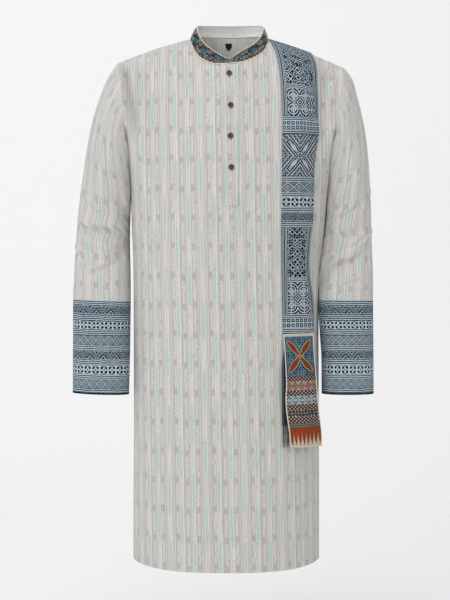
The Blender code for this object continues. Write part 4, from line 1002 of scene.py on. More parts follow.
def body_pieces(cloth):
    """The three panels of the body, each with the name of its node."""
    r = np.concatenate([np.linspace(-1, 0, 50, endpoint=False), np.linspace(0, 0.9, 52, endpoint=False),
                        np.linspace(0.9, 1.0, 14)])
    slit, slit_end = 2.507, 2.521       # columns between which the neck slit is left open
    half_seam = 0.0008                  # half the gap at the seam of main and side, in columns
    main = np.concatenate([rows_between([0, 1, 2, slit], [22, 18, 24]), [slit_end],
                           rows_between([2.54, 3.0], [24])])
    side = rows_between([3.0, 4.0, 5.0], [20, 22])
    back = rows_between([0, 1, 2, 3, 4, 5], [22, 14, 34, 14, 22])
    main[-1] -= half_seam
    side[0] += half_seam
    out = []
    for node, front, s in (("front_main", True, main), ("front_side", True, side), ("back", False, back)):
        p, inner = panel_shell(front, s, r)
        uv = panel_uv(front, p, panel_point(front, np.linspace(0, 5, 241)[None], r[:, None]))
        keep = None
        if node == "front_main":
            column = int(np.argmin(np.abs(main - slit)))
            keep = np.ones((len(r) - 1, len(main) - 1), bool)
            keep[p[:-1, column, 2] > SLIT_FOOT, column] = False
        if not front:
            uv = uv + np.array([0.008, 0.031])      # the back is cut from another part of the cloth
        out.append((shell(node + "_cloth", p, inner, uv, cloth, keep=keep), node))
    return out


# ----------------------------------------------------------------- sleeves and cuffs
def body_side(side, z):
    """How far the body reaches to one side at the height z."""
    return np.abs(read(BODY, z, 1 if side == "right" else 2)[0])


def lean_on_body(side, rows, p, turn):
    """The inner side of a sleeve comes nearer to the body, flattens there and laps over its front."""
    clear, over_clear, over_most = 0.0012, 0.0016, 0.0075
    flatten, round_power = 0.22, 2.25
    start, full, still, end = LEAN[side]
    share = ease(ramp(rows, start, full) * ramp(rows, end, still))
    ix, iz = read_rows(SLEEVES[side], rows, 2, 3)
    nearer = np.maximum(np.abs(ix) - body_side(side, iz) - clear, 0) * share
    inner_side = np.clip(np.cos(2 * math.pi * turn), 0, 1)[None]
    share = share[:, None]
    p[..., 0] += INWARD[side] * nearer[:, None] * inner_side ** 1.2
    low, high = p[..., 1].min(axis=1), p[..., 1].max(axis=1)
    mid, half = (low + high)[:, None] / 2, (high - low)[:, None] / 2
    q = np.clip((p[..., 1] - mid) / half, -1, 1)
    p[..., 1] = mid + half * signed_power(q, 1 - flatten * share * inner_side)
    depth = np.abs(read(BODY, p[..., 2], 3)[0])
    open_side = 1 - np.clip(np.abs(p[..., 1]) / depth, 0, 1) ** round_power
    rounded = body_side(side, p[..., 2]) * open_side ** (1 / round_power)
    room = np.clip(np.abs(p[..., 0]) - rounded - over_clear, 0, over_most)
    p[..., 0] += INWARD[side] * room * share * inner_side ** 0.6 * (p[..., 1] < mid)


def tube_shell(name, side, rows, mats, wall, around, is_cuff):
    """A sleeve, or the cuff at its end; the cuff has a print round it and no small creases."""
    turn = np.arange(around) / around
    p, n = sleeve_face(side, turn[None], rows[:, None])
    if not is_cuff:
        drop, wider, rise = TROUGH
        folds = [(a0, b0, a1, b1, w, h * FINE_RISE) for a0, b0, a1, b1, w, h in SLEEVE_FINE[side]]
        folds += [(a0, b0 + drop, a1, b1 + drop, w * wider, h * rise) for a0, b0, a1, b1, w, h in folds]
        p = p + n * sleeve_ridge(side, turn[None], rows[:, None], folds)[..., None]
        outer_side = np.clip(-np.cos(2 * math.pi * turn), 0, 1)[None]
        low, high = HANG[side]
        hold = ramp(rows, low, low + 1.2) * ramp(rows, high, high - 1.4)
        p[..., 0] += INWARD[side] * HANG_IN * hold[:, None] * outer_side ** 2
    lean_on_body(side, rows, p, turn)
    for i in (0, len(rows) - 1):
        axis = sleeve_axis(side, rows[i])
        n[i] = unit(n[i] - (n[i] @ axis)[:, None] * axis)
    p[0] -= sleeve_axis(side, rows[0]) * 0.0007
    far = row_distances(np.concatenate([p, p[:, :1]], axis=1))
    u = far / far[:, -1:] * CUFF_PRINT * PX if is_cuff else far - far[:, around // 2][:, None]
    uv = np.stack(np.broadcast_arrays(u, distances(p.mean(axis=1))[:, None]), axis=-1)
    return shell(name, p, p - n * wall, uv, mats, wrap=True)


# ----------------------------------------------------------------- collar
def band_span(t):
    """How far the sewn-on band covers the neck seam, and how high it stands above it."""
    t = np.asarray(t, float)
    near = np.minimum(t, 1 - t)
    drop = 0.0036 * bump(t - 0.11, 0.075) + 0.0022 * bump(near, 0.03)
    high = np.linalg.norm(neck_loop(t, True) - neck_loop(t), axis=-1)
    high = high * (1 - 0.11 * bump(t - 0.5, 0.17, 4)) * (1 - 0.05 * ramp(near, 0.03, 0) ** 2)
    return drop - COLLAR_LIFT, high - 2.4 * PIPING_R


def collar_face(t, v):
    """Outer face of the band: v is 0 at its lower edge, 1 under the piping."""
    t, v = np.broadcast_arrays(np.asarray(t, float), np.asarray(v, float))
    base = neck_loop(t)
    up = unit(neck_loop(t, True) - base)
    below, high = band_span(t)
    along = unit(neck_loop(np.clip(t + 1e-3, 0, 1)) - neck_loop(np.clip(t - 1e-3, 0, 1)))
    out = unit(np.cross(up, along))
    mid = (neck_loop(np.array(0.25)) + neck_loop(np.array(0.75))) / 2
    out = np.where(((base - mid) * out).sum(-1, keepdims=True) < 0, -out, out)
    over = 0.28 * (below + COLLAR_LIFT) + 0.0014 * bump(np.minimum(t, 1 - t), 0.03)
    bow = 0.0016 * np.sin(np.pi * v) + over * (1 - v) ** 3
    return base + up * ((below + high) * v - below)[..., None] + out * bow[..., None], out, up


BAND_T = np.linspace(COLLAR_END, 1 - COLLAR_END, 600)
BAND_FAR = distances((neck_loop(BAND_T) + neck_loop(BAND_T, True)) / 2)
BAND_LONG = BAND_FAR[-1]


def on_collar(a, b, lift):
    """Point of the band a metres along it from the front and b up it as a share, lift off its face."""
    p, out = collar_face(np.interp(a, BAND_FAR, BAND_T), b)[:2]
    return p + out * np.asarray(lift)[..., None]


def band_height(a):
    below, high = band_span(np.interp(a, BAND_FAR, BAND_T))
    return below + high


# blue patches: share along the band from the right front end, share up it, lean
PATCHES = [(0.045, 0.62, 0.10), (0.130, 0.54, 0.14), (0.215, 0.52, 0.10), (0.325, 0.50, 0.0),
           (0.440, 0.52, 0.05), (0.555, 0.50, -0.05), (0.670, 0.52, 0.0), (0.780, 0.50, -0.10),
           (0.874, 0.54, -0.14), (0.959, 0.60, -0.08)]
PATCH_LONG, PATCH_WIDE = 0.0096, 0.0052


# rows of scrolls: height as a share, size as a share of the height, turn, shift along in scrolls
SCROLLS = [(0.29, 0.28, 1, 0.0), (0.71, 0.28, -1, 0.5), (0.05, 0.08, 1, 0.5), (0.95, 0.08, -1, 0.0)]
SCROLL_STEP, LEAF_STEP = 0.0104, 0.0105


def on_patch(a, b, high):
    """Whether the place a along the band and b up it lies on a blue patch or just beside one."""
    for share, vert, lean in PATCHES:
        da, db = a - share * BAND_LONG, b - vert * high
        if abs(da) < PATCH_LONG + 0.0016 and abs(db + lean * da) < PATCH_WIDE + 0.0018:
            return True
    return False


def scroll_paths():
    """Loops of couched cord, in rows, clear of the patches."""
    paths = []
    count = int(BAND_LONG / SCROLL_STEP)
    step = BAND_LONG / count
    f = np.linspace(0, 1, 20)
    for i in range(count):
        high = float(band_height((i + 0.5) * step))
        for row, (level, big, turn, shift) in enumerate(SCROLLS):
            a0 = (i + 0.5 + shift) * step + 0.0006 * math.sin(i * 2.3 + row)
            a0 = min(max(a0, 0.0032), BAND_LONG - 0.0032)
            b0 = level * high + 0.0005 * math.sin(i * 1.7 + row * 2.0)
            if on_patch(a0, b0, high):
                continue
            spin = turn if i % 2 == 0 else -turn
            angle = 2 * math.pi * f * spin + i * 0.9 + row * 2.1
            r = min(big * high, 0.0050) * (1 - 0.78 * f)
            a = np.clip(a0 + r * np.cos(angle) * 1.12, 0.0008, BAND_LONG - 0.0008)
            b = np.clip((b0 + r * np.sin(angle)) / high, 0.015, 0.985)
            paths.append(on_collar(a, b, 0.00030 + 0.00025 * f))
    return paths


def leaf_paths():
    """Small leaves that reach over the band's lower edge."""
    f = np.linspace(0, 1, 6)
    paths = []
    for i in range(int(BAND_LONG / LEAF_STEP)):
        a0 = (i + 0.35 + 0.2 * math.sin(i * 1.9)) * LEAF_STEP
        a = np.clip(a0 + 0.0022 * (f - 0.2) * (1 if i % 2 else -1), 0.001, BAND_LONG - 0.001)
        paths.append(on_collar(a, 0.10 - 0.115 * f, 0.0006 + 0.0009 * np.sin(np.pi * f)))
    return paths


def patch_piece(mats):
    """The blue patches: padded rounded oblongs."""
    verts, faces, uvs = [], [], []
    n, m = 17, 9
    i, j = (q.ravel() for q in np.meshgrid(np.arange(n), np.arange(m), indexing="ij"))
    x, y = 2 * i / (n - 1) - 1, 2 * j / (m - 1) - 1
    for number, (share, vert, lean) in enumerate(PATCHES):
        base = len(verts)
        high = float(band_height(share * BAND_LONG))
        a = share * BAND_LONG + x * PATCH_LONG * (1 - 0.12 * np.abs(y)) + 0.0010 * y
        wide = PATCH_WIDE * (1 - 0.32 * np.abs(x) ** 3 + 0.05 * np.sin(5 * x + number))
        b = np.clip((vert * high + y * wide - lean * x * PATCH_LONG) / high, 0.02, 0.98)
        verts += list(on_collar(a, b, 0.00015 + 0.00115 * (1 - x ** 6) * (1 - y ** 4)))
        for p in range(n - 1):
            for q in range(m - 1):
                ring = ((p, q), (p + 1, q), (p + 1, q + 1), (p, q + 1))
                faces.append([base + e * m + g for e, g in ring])
                uvs += [(e * 0.0008, g * 0.0007) for e, g in ring]
    return make("collar_blue_patches", verts, faces, uvs, mats=mats, crisp=70)


def collar_pieces(band, cream):
    """The band and the piping on its top edge."""
    even = np.linspace(0, 1, 260)
    t = 0.3 * (0.5 - 0.5 * np.cos(math.pi * even)) + 0.7 * even
    t = COLLAR_END + (1 - 2 * COLLAR_END) * t
    v = np.linspace(0, 1, 10)[:, None]
    outer, out, up = collar_face(t[None], v)
    far = np.interp(t, BAND_T, BAND_FAR)
    uv = np.stack(np.broadcast_arrays(v * band_height(far)[None], far[None]), axis=-1)
    main = shell("collar_band", outer, outer - out * BAND, uv, band)
    edge, out, up = collar_face(t, 1.0)
    wobble = 0.00016 * np.sin(far * 900) + 0.00012 * np.sin(far * 2310 + 1)
    centre = edge - out * BAND / 2 + up * (PIPING_R + 0.00030 + wobble[:, None])
    return main, rope([centre], PIPING_R * 1.08, 10, "collar_piping_cord", cream)


def lower_edge_piece(mats):
    """Uneven edge below the band."""
    a = np.linspace(0.0, BAND_LONG, 520)
    p, out, up = collar_face(np.interp(a, BAND_FAR, BAND_T), 0.0)
    low = 0.00075 + 0.00030 * np.sin(a * 700) + 0.00025 * np.sin(a * 1900 + 2)
    return rope([p + out * 0.00035 - up * low[:, None]], 0.00095, 8, "collar_lower_edge", mats)


# ----------------------------------------------------------------- placket and buttons
def placket_left(z):
    return float(read(PLACKET, z, 1)[0])


def placket_right(z):
    return float(read(PLACKET, z, 2)[0])


def strip_uv(outer):
    x, soft = flat_table(True)
    u = np.interp(outer[..., 0], x, soft)
    v = np.broadcast_to(-outer[:, outer.shape[1] // 2, 2][:, None], u.shape)
    return np.stack([u + 0.0016, v + 0.003], axis=-1)


def placket_pieces(cloth):
    """The strip over the neck slit and the one under it."""
    foot = row_at(True, 2.5, PLACKET_FOOT)
    outer, inner = strip(np.linspace(foot, 0.992, 84), placket_left, placket_right, 15, LIE, LIE + FOLDED)
    x, z = outer[..., 0], outer[..., 2]
    for bx, bz in BUTTONS:
        outer[..., 1] += 0.00035 * bump(x - bx, 0.010) * bump(z - bz, 0.009)
    f = np.linspace(0, 1, 15)[None]
    wave = 0.0005 * np.sin(z * 62) * bump(f, 0.3)
    outer[..., 1] -= wave * ramp(z, PLACKET_FOOT + 0.02, PLACKET_FOOT + 0.05)
    over = shell("placket_over_cloth", outer, inner, strip_uv(outer), cloth)
    outer, inner = strip(np.linspace(foot + 0.012, 0.975, 50), lambda z: placket_left(z) + 0.003,
                         lambda z: placket_right(z) + 0.002, 8, -CLOTH - 0.0022, -CLOTH - 0.0010)
    under = shell("placket_under_cloth", outer, inner, strip_uv(outer), cloth)
    return over, under


def front_frame(x, z, lift):
    """Point over the front at X and height z, with the outward, side and up directions there."""
    p, n = on_front(np.array([x]), row_at(True, 2.5, z))
    side = unit(np.cross(n[0], np.array([0.0, 0.0, 1.0])))
    return p[0] + n[0] * lift, n[0], side, np.cross(side, n[0])


# section of a button's disc from the middle underneath round the rim to the middle on top:
# radius and height, as shares
BUTTON_SECTION = [(0.0, 0.0), (0.70, 0.0), (0.90, 0.08), (0.99, 0.28), (1.0, 0.50), (0.985, 0.74),
                  (0.93, 0.92), (0.86, 1.0), (0.79, 0.985), (0.72, 0.90), (0.66, 0.74), (0.58, 0.63),
                  (0.40, 0.58), (0.0, 0.57)]


def button_disc(name, base, n, side, up, mats):
    """A disc turned about n, with a rounded rim and a hollow in the middle."""
    count, verts, faces, rings = 48, [], [], []
    for rad, high in BUTTON_SECTION:
        rings.append(len(verts))
        for j in range(count if rad else 1):
            a = 2 * math.pi * j / count
            round_it = math.cos(a) * side + math.sin(a) * up
            verts.append(base + n * high * BUTTON_HIGH + BUTTON_R * rad * round_it)
    for k, (lo, hi) in enumerate(zip(rings, rings[1:])):
        for j in range(count):
            q = (j + 1) % count
            if BUTTON_SECTION[k][0] == 0:
                faces.append((lo, hi + q, hi + j))
            elif BUTTON_SECTION[k + 1][0] == 0:
                faces.append((hi, lo + j, lo + q))
            else:
                faces.append((lo + j, lo + q, hi + q, hi + j))
    flat = [verts[v] - base for f in faces for v in f]
    return make(name, verts, faces, [(d @ side, d @ up) for d in flat], mats=mats, crisp=50)


def button_pieces(shine, thread, hole):
    """For each button the disc, four near-black plugs as painted shade in its holes, and a crossed thread."""
    hole_off, thread_off = 0.00105, 0.00012
    out = []
    f = np.linspace(-1, 1, 9)
    for number, (x, z) in enumerate(BUTTONS, 1):
        name = "button_%d_" % number
        base, n, side, up = front_frame(x, z, LIE + FOLDED + 0.00035)
        disc = button_disc(name + "disc", base, n, side, up, shine)
        top = base + n * BUTTON_HIGH * 0.60
        holes, lines = [], []
        # painted shade: the disc is not pierced; short near-black plugs stand for the shade inside its four
        # holes
        for sx, sy in ((-1, -1), (1, -1), (1, 1), (-1, 1)):
            c = top + hole_off * (sx * side + sy * up)
            holes.append(np.array([c - n * 0.0004, c + n * 0.00003]))
        for sx in (1, -1):
            for off in (-thread_off, thread_off):
                along = (f * 0.00108)[:, None] * (side + sx * up)
                above = (0.00034 * (1 - f ** 6) - 0.0002 + off * 0.2)[:, None] * n
                lines.append(top + along + above + off * (side - sx * up))
        out.append((disc, rope(holes, 0.00048, 12, name + "holes", hole),
                    rope(lines, 0.00017, 5, name + "thread", thread)))
    return out


def buttonholes(thread):
    """Close stitches down both sides of each upright buttonhole, and a bar at each end."""
    half, bar, count = 0.0082, 0.0086, 26
    paths = []
    for x, z in BUTTONS:
        base, n, side, up = front_frame(x, z, LIE + FOLDED + 0.00012)
        stitch = [(h, way * 0.00030, way * 0.00135, 0.00012) for way in (-1, 1)
                  for h in np.linspace(-half, half, count)]
        stitch += [(-bar, -0.0013, 0.0013, 0.0002), (bar, -0.0013, 0.0013, 0.0002)]
        for high, start, end, rise in stitch:
            a, b = base + up * high + side * start, base + up * high + side * end
            paths.append(np.array([a, (a + b) / 2 + n * rise, b]))
    return rope(paths, 0.00022, 5, "buttonhole_stitches", thread)


# ----------------------------------------------------------------- stitching
def stitches(name, points, normals, mat, length=0.0027, gap=0.0014, radius=0.00019):
    """A row of short stitches along points that lie on the cloth; their ends dip into it."""
    far = distances(points)
    paths = []
    f = np.linspace(-0.5, 0.5, 5)
    for k in range(int(far[-1] / (length + gap))):
        at = (k + 0.5) * (length + gap) + f * length
        rise = radius * 0.75 - 0.00002 - 0.00022 * (2 * f[:, None]) ** 4
        paths.append(between(at, far, points) + unit(between(at, far, normals)) * rise)
    return rope(paths, radius, 5, name, mat)


def front_line(x_of_z, z0, z1):
    """Points over the front along X given by height, and the outward directions there."""
    found = [on_front(np.array([x_of_z(z)]), row_at(True, 2.5, z)) for z in np.linspace(z0, z1, 120)]
    return [np.vstack(column) for column in zip(*found)]


def stitch_pieces(thread):
    """Rows of stitches, each with the name of the node it is sewn on."""
    inset = 0.0022          # from an edge of the placket
    foot, bar, top = PLACKET_FOOT + 0.003, PLACKET_FOOT + 0.020, -0.078
    rows = [("placket_stitch_free", *front_line(lambda z: placket_left(z) + inset, foot, top)),
            ("placket_stitch_sewn", *front_line(lambda z: placket_right(z) - inset, foot, top))]
    for name, z in (("placket_stitch_foot", foot), ("placket_stitch_bar", bar)):
        xs = np.linspace(placket_left(z) + inset, placket_right(z) - inset, 20)
        rows.append((name, *on_front(xs, row_at(True, 2.5, z))))
    out = [(stitches(name, p + n * (LIE + FOLDED), n, thread), "placket_over") for name, p, n in rows]
    s = np.linspace(0.05, 4.95, 260)
    for front, name, node in ((True, "front_hem_stitch", "front_main"), (False, "back_hem_stitch", "back")):
        p, n = panel_face(front, s[None], np.array([[-0.972]]))
        p = fine_folds(front, p, n, np.clip(np.minimum(s, 5 - s) / 0.5, 0, 1))
        out.append((stitches(name, p[0], n[0], thread, 0.0030, 0.0024, 0.00016), node))
    turn = np.linspace(0, 1, 140)
    for side in SIDES:
        for tag, k in (("cuff_seam", 11.10), ("cuff_mouth", 12.955)):
            p, n = sleeve_face(side, turn, k)
            out.append((stitches("%s_stitch_%s" % (tag, side), p, n, thread), "cuff_" + side))
    return out


# ----------------------------------------------------------------- shoulder strip and its end
def strip_rows():
    low = np.linspace(row_at(True, 3.3, DRAPE_FOOT), 0.0, 56, endpoint=False)
    return np.concatenate([low, np.linspace(0.0, 0.9, 60, endpoint=False), np.linspace(0.9, 1.0, 22)])


def strip_piece(mats):
    """The shoulder strip down to its foot; its right edge stands off the front."""
    share = np.linspace(0, 1, 30)
    outer, inner = [], []
    for r in strip_rows():
        p0 = panel_face(True, np.array([[3.012, 3.5, 3.8]]), np.array([[r]]))[0][0]
        z = p0[2 if r < 0 else 1, 2]
        left = p0[0, 0]
        right, stand = (float(v) for v in read(DRAPE_EDGE, z, 1, 2))
        p, n = on_front(left + (right - left) * share, r)
        loose = min(1.0, (1 - r) * 8)       # 0 at the shoulder seam, where the strip is sewn down
        off = p + n * (LIE + 0.0003)
        off[:, 1] -= (stand - 0.0004) * share ** 1.6 * loose + 0.0008 * np.sin(np.pi * share) * loose
        off[:, 1] -= 0.0005 * loose * np.sin(share * 7 + z * 31) * np.sin(np.pi * share)
        off[:, 2] += 0.0006 * share * (1 - loose)
        inner.append(off)
        outer.append(off + unit(n * np.array([0.5, 1.0, 1.0])) * DRAPE_WALL)
    outer, inner = np.array(outer), np.array(inner)
    far = row_distances(outer) / PX
    # rows of the print: by height where the strip hangs, and by length above that
    mid = outer[:, 14]
    hung = print_row(mid[:, 2])
    row, down = hung.copy(), distances(mid) / PX
    start = int(np.argmax(row < 81))
    row[start:] = row[start] - (down[start:] - down[start])
    slant = print_row(outer[..., 2]) - hung[:, None]
    t = row[:, None] + slant * ramp(row, 70, 90)[:, None]
    uv, uv2 = np.stack([far, t], axis=-1), np.stack([far[:, -1:] - far, t], axis=-1)
    return shell("stole_front_cloth", outer, inner, uv, mats, uv2=uv2)


def end_pieces(end, deep, cream):
    """The end panel, the under-layer behind it and the cords round the panel."""
    u, w = np.broadcast_arrays(np.linspace(0, 1, 46)[None], np.linspace(0, 1, 110)[:, None])
    p, n = end_face(u, w), end_normal(u, w)
    p = p + n * (0.0005 * np.sin(w * 23 + u * 3) * np.sin(np.pi * u) * ramp(w, 0, 1 / 6))[..., None]
    uv = np.stack([u, print_row(p[..., 2])], axis=-1)
    panel = shell("stole_end_cloth", p, p - n * DRAPE_WALL, uv, end)
    outer = []
    for z in np.linspace(UNDER[0, 2], UNDER[-1, 2], 26):
        left, right = (spline(UNDER[::-1, 2], UNDER[::-1, c], z) for c in (0, 1))
        outer.append([under_face(x, z) for x in np.linspace(left - 0.0012, right, 20)])
    outer = np.array(outer)
    uv = np.stack([(outer[..., 0] - outer[:, :1, 0]) / PX, print_row(outer[..., 2])], axis=-1)
    under = shell("stole_under_cloth", outer, outer + np.array([0, 0.0010, 0]), uv, deep)
    w, u, inset = np.linspace(0.004, 0.997, 200), np.linspace(0.012, 0.988, 80), 0.012
    head = end_line(u, inset, 0.0003)
    head[:, 2] += 0.0004 * np.sin(u * 60)
    cords = [end_line(inset, w, 0.0002), end_line(1 - inset, w, 0.0002), end_line(u, 0.997, 0.0002), head]
    return panel, under, rope(cords, 0.00085, 7, "stole_end_edges", cream)


def fringe_piece(mats):
    """Locks of three twisted threads below the under-layer, thinner towards their ends."""
    left, right, top_z = UNDER[-1]
    top_z -= 0.0004
    turns, thread_off = 2.4, 0.00042
    cells = 2 * FRINGE_STRANDS - 1
    xs = np.linspace(left, right, cells + 1)
    f = np.linspace(0, 1, 15)
    paths = []
    for j in range(0, cells, 2):
        top = (under_face(xs[j], top_z) + under_face(xs[j + 1], top_z)) / 2 + np.array([0, 0.0006, 0])
        sway, deep = 0.0011 * math.sin(j * 1.9), 0.0004 * math.cos(j * 2.7)
        length = top_z - 0.0026 - FRINGE_FOOT - 0.004 * (0.5 + 0.5 * math.sin(j * 2.3))
        for k in range(3):
            a = 2 * math.pi * k / 3 + f * 2 * math.pi * turns + j
            rad = thread_off * (1 - 0.5 * f)
            x = top[0] + sway * f * 1.2 + rad * np.cos(a) + 0.0006 * f ** 2 * math.sin(k * 2.1 + j)
            y = top[1] + deep * f + rad * np.sin(a) * 0.7
            z = top_z + 0.0002 - (length + 0.0024 - 0.0011 * k) * f
            paths.append(np.stack([x, y, z], axis=-1))
    return rope(paths, 0.00068, 5, "stole_fringe_locks", mats, taper=lambda f: 1.0 - 0.5 * f ** 2)


# neck tab: row of the back panel, left X, right X
TAB = np.array([(0.9308, -0.0010, -0.0006), (0.9480, -0.0066, 0.0052), (0.9720, -0.0080, 0.0066)])


def tab_piece(mats):
    """A small tab sewn inside the back of the neck, pointed at its foot."""
    s = np.linspace(2.2, 2.8, 121)
    outer, inner = [], []
    for r in np.concatenate([np.linspace(0.972, 0.948, 10), np.linspace(0.945, 0.9312, 9)]):
        left, right = (np.interp(r, TAB[:, 0], TAB[:, c]) for c in (1, 2))
        x = panel_face(False, s, r)[0][:, 0]
        p, n = panel_face(False, np.interp(np.linspace(left, right, 12), x, s), r)
        outer.append(p - n * (CLOTH + 0.0017))
        inner.append(p - n * (CLOTH + 0.0009))
    outer, inner = np.array(outer), np.array(inner)
    return shell("neck_tab_cloth", outer, inner, outer[..., [0, 2]], mats)


# ----------------------------------------------------------------- materials
def tone(*rgb):
    """Linear colour from everyday 0-255 values."""
    shares = [c / 255 for c in rgb]
    return (*(c / 12.92 if c <= 0.04045 else ((c + 0.055) / 1.055) ** 2.4 for c in shares), 1.0)


class Paint:
    """A cloth or other material and its node tree."""

    def __init__(self, name, rough=0.85, sheen=0.0, spec=0.25):
        self.mat = bpy.data.materials.new(name)
        self.mat.use_nodes = True
        self.tree = self.mat.node_tree
        self.shader = self.tree.nodes["Principled BSDF"]
        self.set("Roughness", rough)
        self.set("Specular IOR Level", spec)
        if sheen:
            self.set("Sheen Weight", sheen)
            self.set("Sheen Roughness", 0.45)

    def set(self, label, value):
        self.shader.inputs[label].default_value = value

    def node(self, kind, inputs, out=0, **settings):
        return new_node(self.tree, kind, inputs, out, **settings)

    def plane(self, layer="cloth", scale=1.0):
        """Flat place on the cloth, as two numbers."""
        node = self.tree.nodes.new("ShaderNodeSeparateXYZ")
        self.tree.links.new(self.node("UVMap", {}, uv_map=layer), node.inputs[0])
        x, y = Num(self.tree, node.outputs[0]), Num(self.tree, node.outputs[1])
        return (x * scale, y * scale) if scale != 1.0 else (x, y)

    def mix(self, share, a, b):
        """Colour a where share is 0, b where it is 1; plain colours are given in 0-255 values."""
        a, b = (tone(*c) if isinstance(c, tuple) else c for c in (a, b))
        return self.node("Mix", {"Factor": share, 6: a, 7: b}, 2, data_type="RGBA")

    def shade(self, colour, level):
        """Colour times a number."""
        return self.node("VectorMath", {0: colour, "Scale": level}, operation="SCALE")

    def colour(self, socket):
        self.tree.links.new(socket, self.shader.inputs["Base Color"])

    def rough(self, number):
        self.tree.links.new(number.socket, self.shader.inputs["Roughness"])

    def bump(self, height, strength=0.4, distance=0.0004):
        normal = self.node("Bump", {"Strength": strength, "Distance": distance, "Height": height})
        self.tree.links.new(normal, self.shader.inputs["Normal"])


def threads(x, y, pitch=0.55):
    """Plain weave: one over, one under; x and y in millimetres."""
    a = calc("SINE", x * (2 * math.pi / pitch))
    b = calc("SINE", y * (2 * math.pi / pitch))
    return a * b


def main_cloth(name="handloom_cotton", inside=False):
    """Grey-beige cotton with ikat stripes, laddered columns and thin pale lines; in millimetres."""
    m = Paint(name, 0.9, 0.05, 0.12)
    repeat = 25.2               # from one stripe to the next
    aqua_run = 137.3            # half the length after which the aqua comes again
    rungs = 58.0                # height of one block of a ladder
    slant = 0.0187              # how far the stripes run off the upright
    x, y = m.plane(scale=1000.0)
    sway = noise(0.0, y, 0.013, 1.0) - 0.5
    feather = noise(x, y * 0.16, 1.1, 1.0) - 0.5
    beads = noise(x * 0.9, y, 0.42, 1.0, 0.6)
    u = x - (y - 389.0) * slant + 4.4 + sway * 3.0
    # ikat stripes: aqua for a stretch, then pale, with a dotted line down the middle
    k = calc("FLOOR", u / repeat + 0.5)
    a = u - k * repeat + feather * 0.8
    own = chance(k, 3.0)
    odd = tri(k, 2.0)
    run = tri(y - 573.0 + odd * (aqua_run / 2) + own * 12.0 - 6.0, aqua_run) + feather * 16.0
    aqua_here = smooth(run, 44.0, 30.0)
    patchy = smooth(noise(u * 0.05, y, 0.075, 2.0, 0.7), 0.30, 0.58)
    aqua = smooth(size(a), 3.5, 2.1) * aqua_here * (patchy * 0.5 + 0.5)
    core = smooth(size(a), 3.1, 1.2) * aqua_here * patchy
    pale_fill = smooth(size(a), 3.4, 2.4) * (1.0 - aqua_here) * 0.8
    pale = most(smooth(size(size(a) - 3.4), 1.1, 0.4), pale_fill)
    pale = pale * (beads * 0.7 + 0.6)
    # columns between the stripes: three kinds in turn
    k2 = calc("FLOOR", u / repeat)
    b = u - k2 * repeat + feather * 0.6
    kind = calc("FLOORED_MODULO", k2, 3.0)
    one, two = calc("COMPARE", kind, 1.0, 0.1), calc("COMPARE", kind, 2.0, 0.1)
    ladder_at = one * 7.8 + two * 3.6 + 9.2
    lines_at = one * -9.4 + two * -10.8 + 17.4
    block = tri(y - 23.5 + one * 2.5 - two * 3.0, rungs)
    open_here = smooth(block, 5.6, 7.6)
    far = size(b - ladder_at)
    drift = noise(kind, y, 0.09, 1.0) * 22.0
    other_rail = smooth(b, ladder_at - 0.2, ladder_at + 0.2) * 3.4
    dash = smooth(tri(y + one * 1.9 + drift + other_rail, 7.8), 0.8, 2.2)
    ladder = smooth(size(far - 1.5), 1.75, 0.7) * open_here * (dash * 0.62 + 0.22)
    solid = smooth(far, 5.8, 5.0)
    pair = size(b - lines_at)
    thin = smooth(tri(b - lines_at + 1.65, 3.3), 1.05, 0.35)
    thin = thin * smooth(far, 4.6, 5.4) * (beads * 0.9 + 0.45)
    dots = most(smooth(pair, 0.75, 0.25), smooth(size(a + 1.0), 0.75, 0.2))
    dots = dots * smooth(tri(y, 2.7), 0.55, 0.95)
    slub = noise(x, y * 0.035, 0.42, 3.0, 0.68) - 0.5
    fine = noise(x, y * 0.20, 2.1, 2.0, 0.6) - 0.5
    fleck = smooth(noise(x, y * 0.8, 0.16, 3.0, 0.75), 0.695, 0.725)
    ground = m.mix(smooth(y, 520.0, 240.0), (192, 188, 183), (195, 188, 186))
    c = m.mix(solid, ground, m.shade(ground, 0.98))
    shut = solid * (1.0 - open_here) * (chance(k2, calc("FLOOR", y / rungs)) * 0.7 + 0.3)
    for share, colour in ((shut * 0.8, (186, 182, 178)), (ladder, (222, 221, 217)),
                          (thin, (220, 218, 213)), (pale, (219, 217, 211)), (aqua, (196, 212, 209)),
                          (core, (184, 206, 204)), (dots * 0.6, (136, 131, 128)),
                          (fleck * 0.7, (86, 76, 70))):
        c = m.mix(share, c, colour)
    level = slub * 0.34 + fine * 0.20 + (beads - 0.5) * 0.12
    # painted light: the inside copy is mixed towards pale cream and made brighter, so that inner faces lying
    # in shade, the inside of the neck among them, look lit
    if inside:
        c = m.mix(fine * 0.2 + 0.62, c, (238, 237, 233))
    m.colour(m.shade(c, level + (1.01 if inside else 0.862)))
    m.bump(threads(x, y) * 0.45 + fine * 1.6 + slub * 1.4, 0.35, 0.00022)
    return m.mat


def wax_print(m, ink, x, y, pink=None, dark=(20, 34, 46), mid=(40, 68, 86), pale=(208, 218, 221), deep=0.72):
    """Colours of a wax-resist cloth dyed in indigo; ink is where the dye was kept off."""
    cloud = noise(x, y, 0.09, 3.0, 0.6)
    streak = noise(x, y * 0.12, 0.30, 2.0, 0.6)
    fine = noise(x, y, 1.4, 2.0, 0.6)
    c = m.mix(smooth(cloud * 0.5 + streak * 0.5, 0.42, 0.68), dark, mid)
    duller = (pale[0] - 40, pale[1] - 24, pale[2] - 16)
    p = m.mix(smooth(streak * 0.5 + fine * 0.5, 0.36, 0.66), pale, duller)
    if pink is not None:
        p = m.mix(pink, p, (186, 186, 188))
    worn = smooth(fine, 0.28, 0.42) * 0.2 + 0.8
    m.colour(m.shade(m.mix(ink * worn, c, p), fine * 0.3 + deep))
    m.bump(threads(x * 2.0, y * 2.0) * 0.5 + fine, 0.3, 0.0002)


def wobble(x, y):
    """Small uneven shifts of a hand-drawn print, across and along."""
    return noise(x, y, 0.16, 1.0) - 0.5, noise(x + 40.0, y, 0.19, 1.0) - 0.5


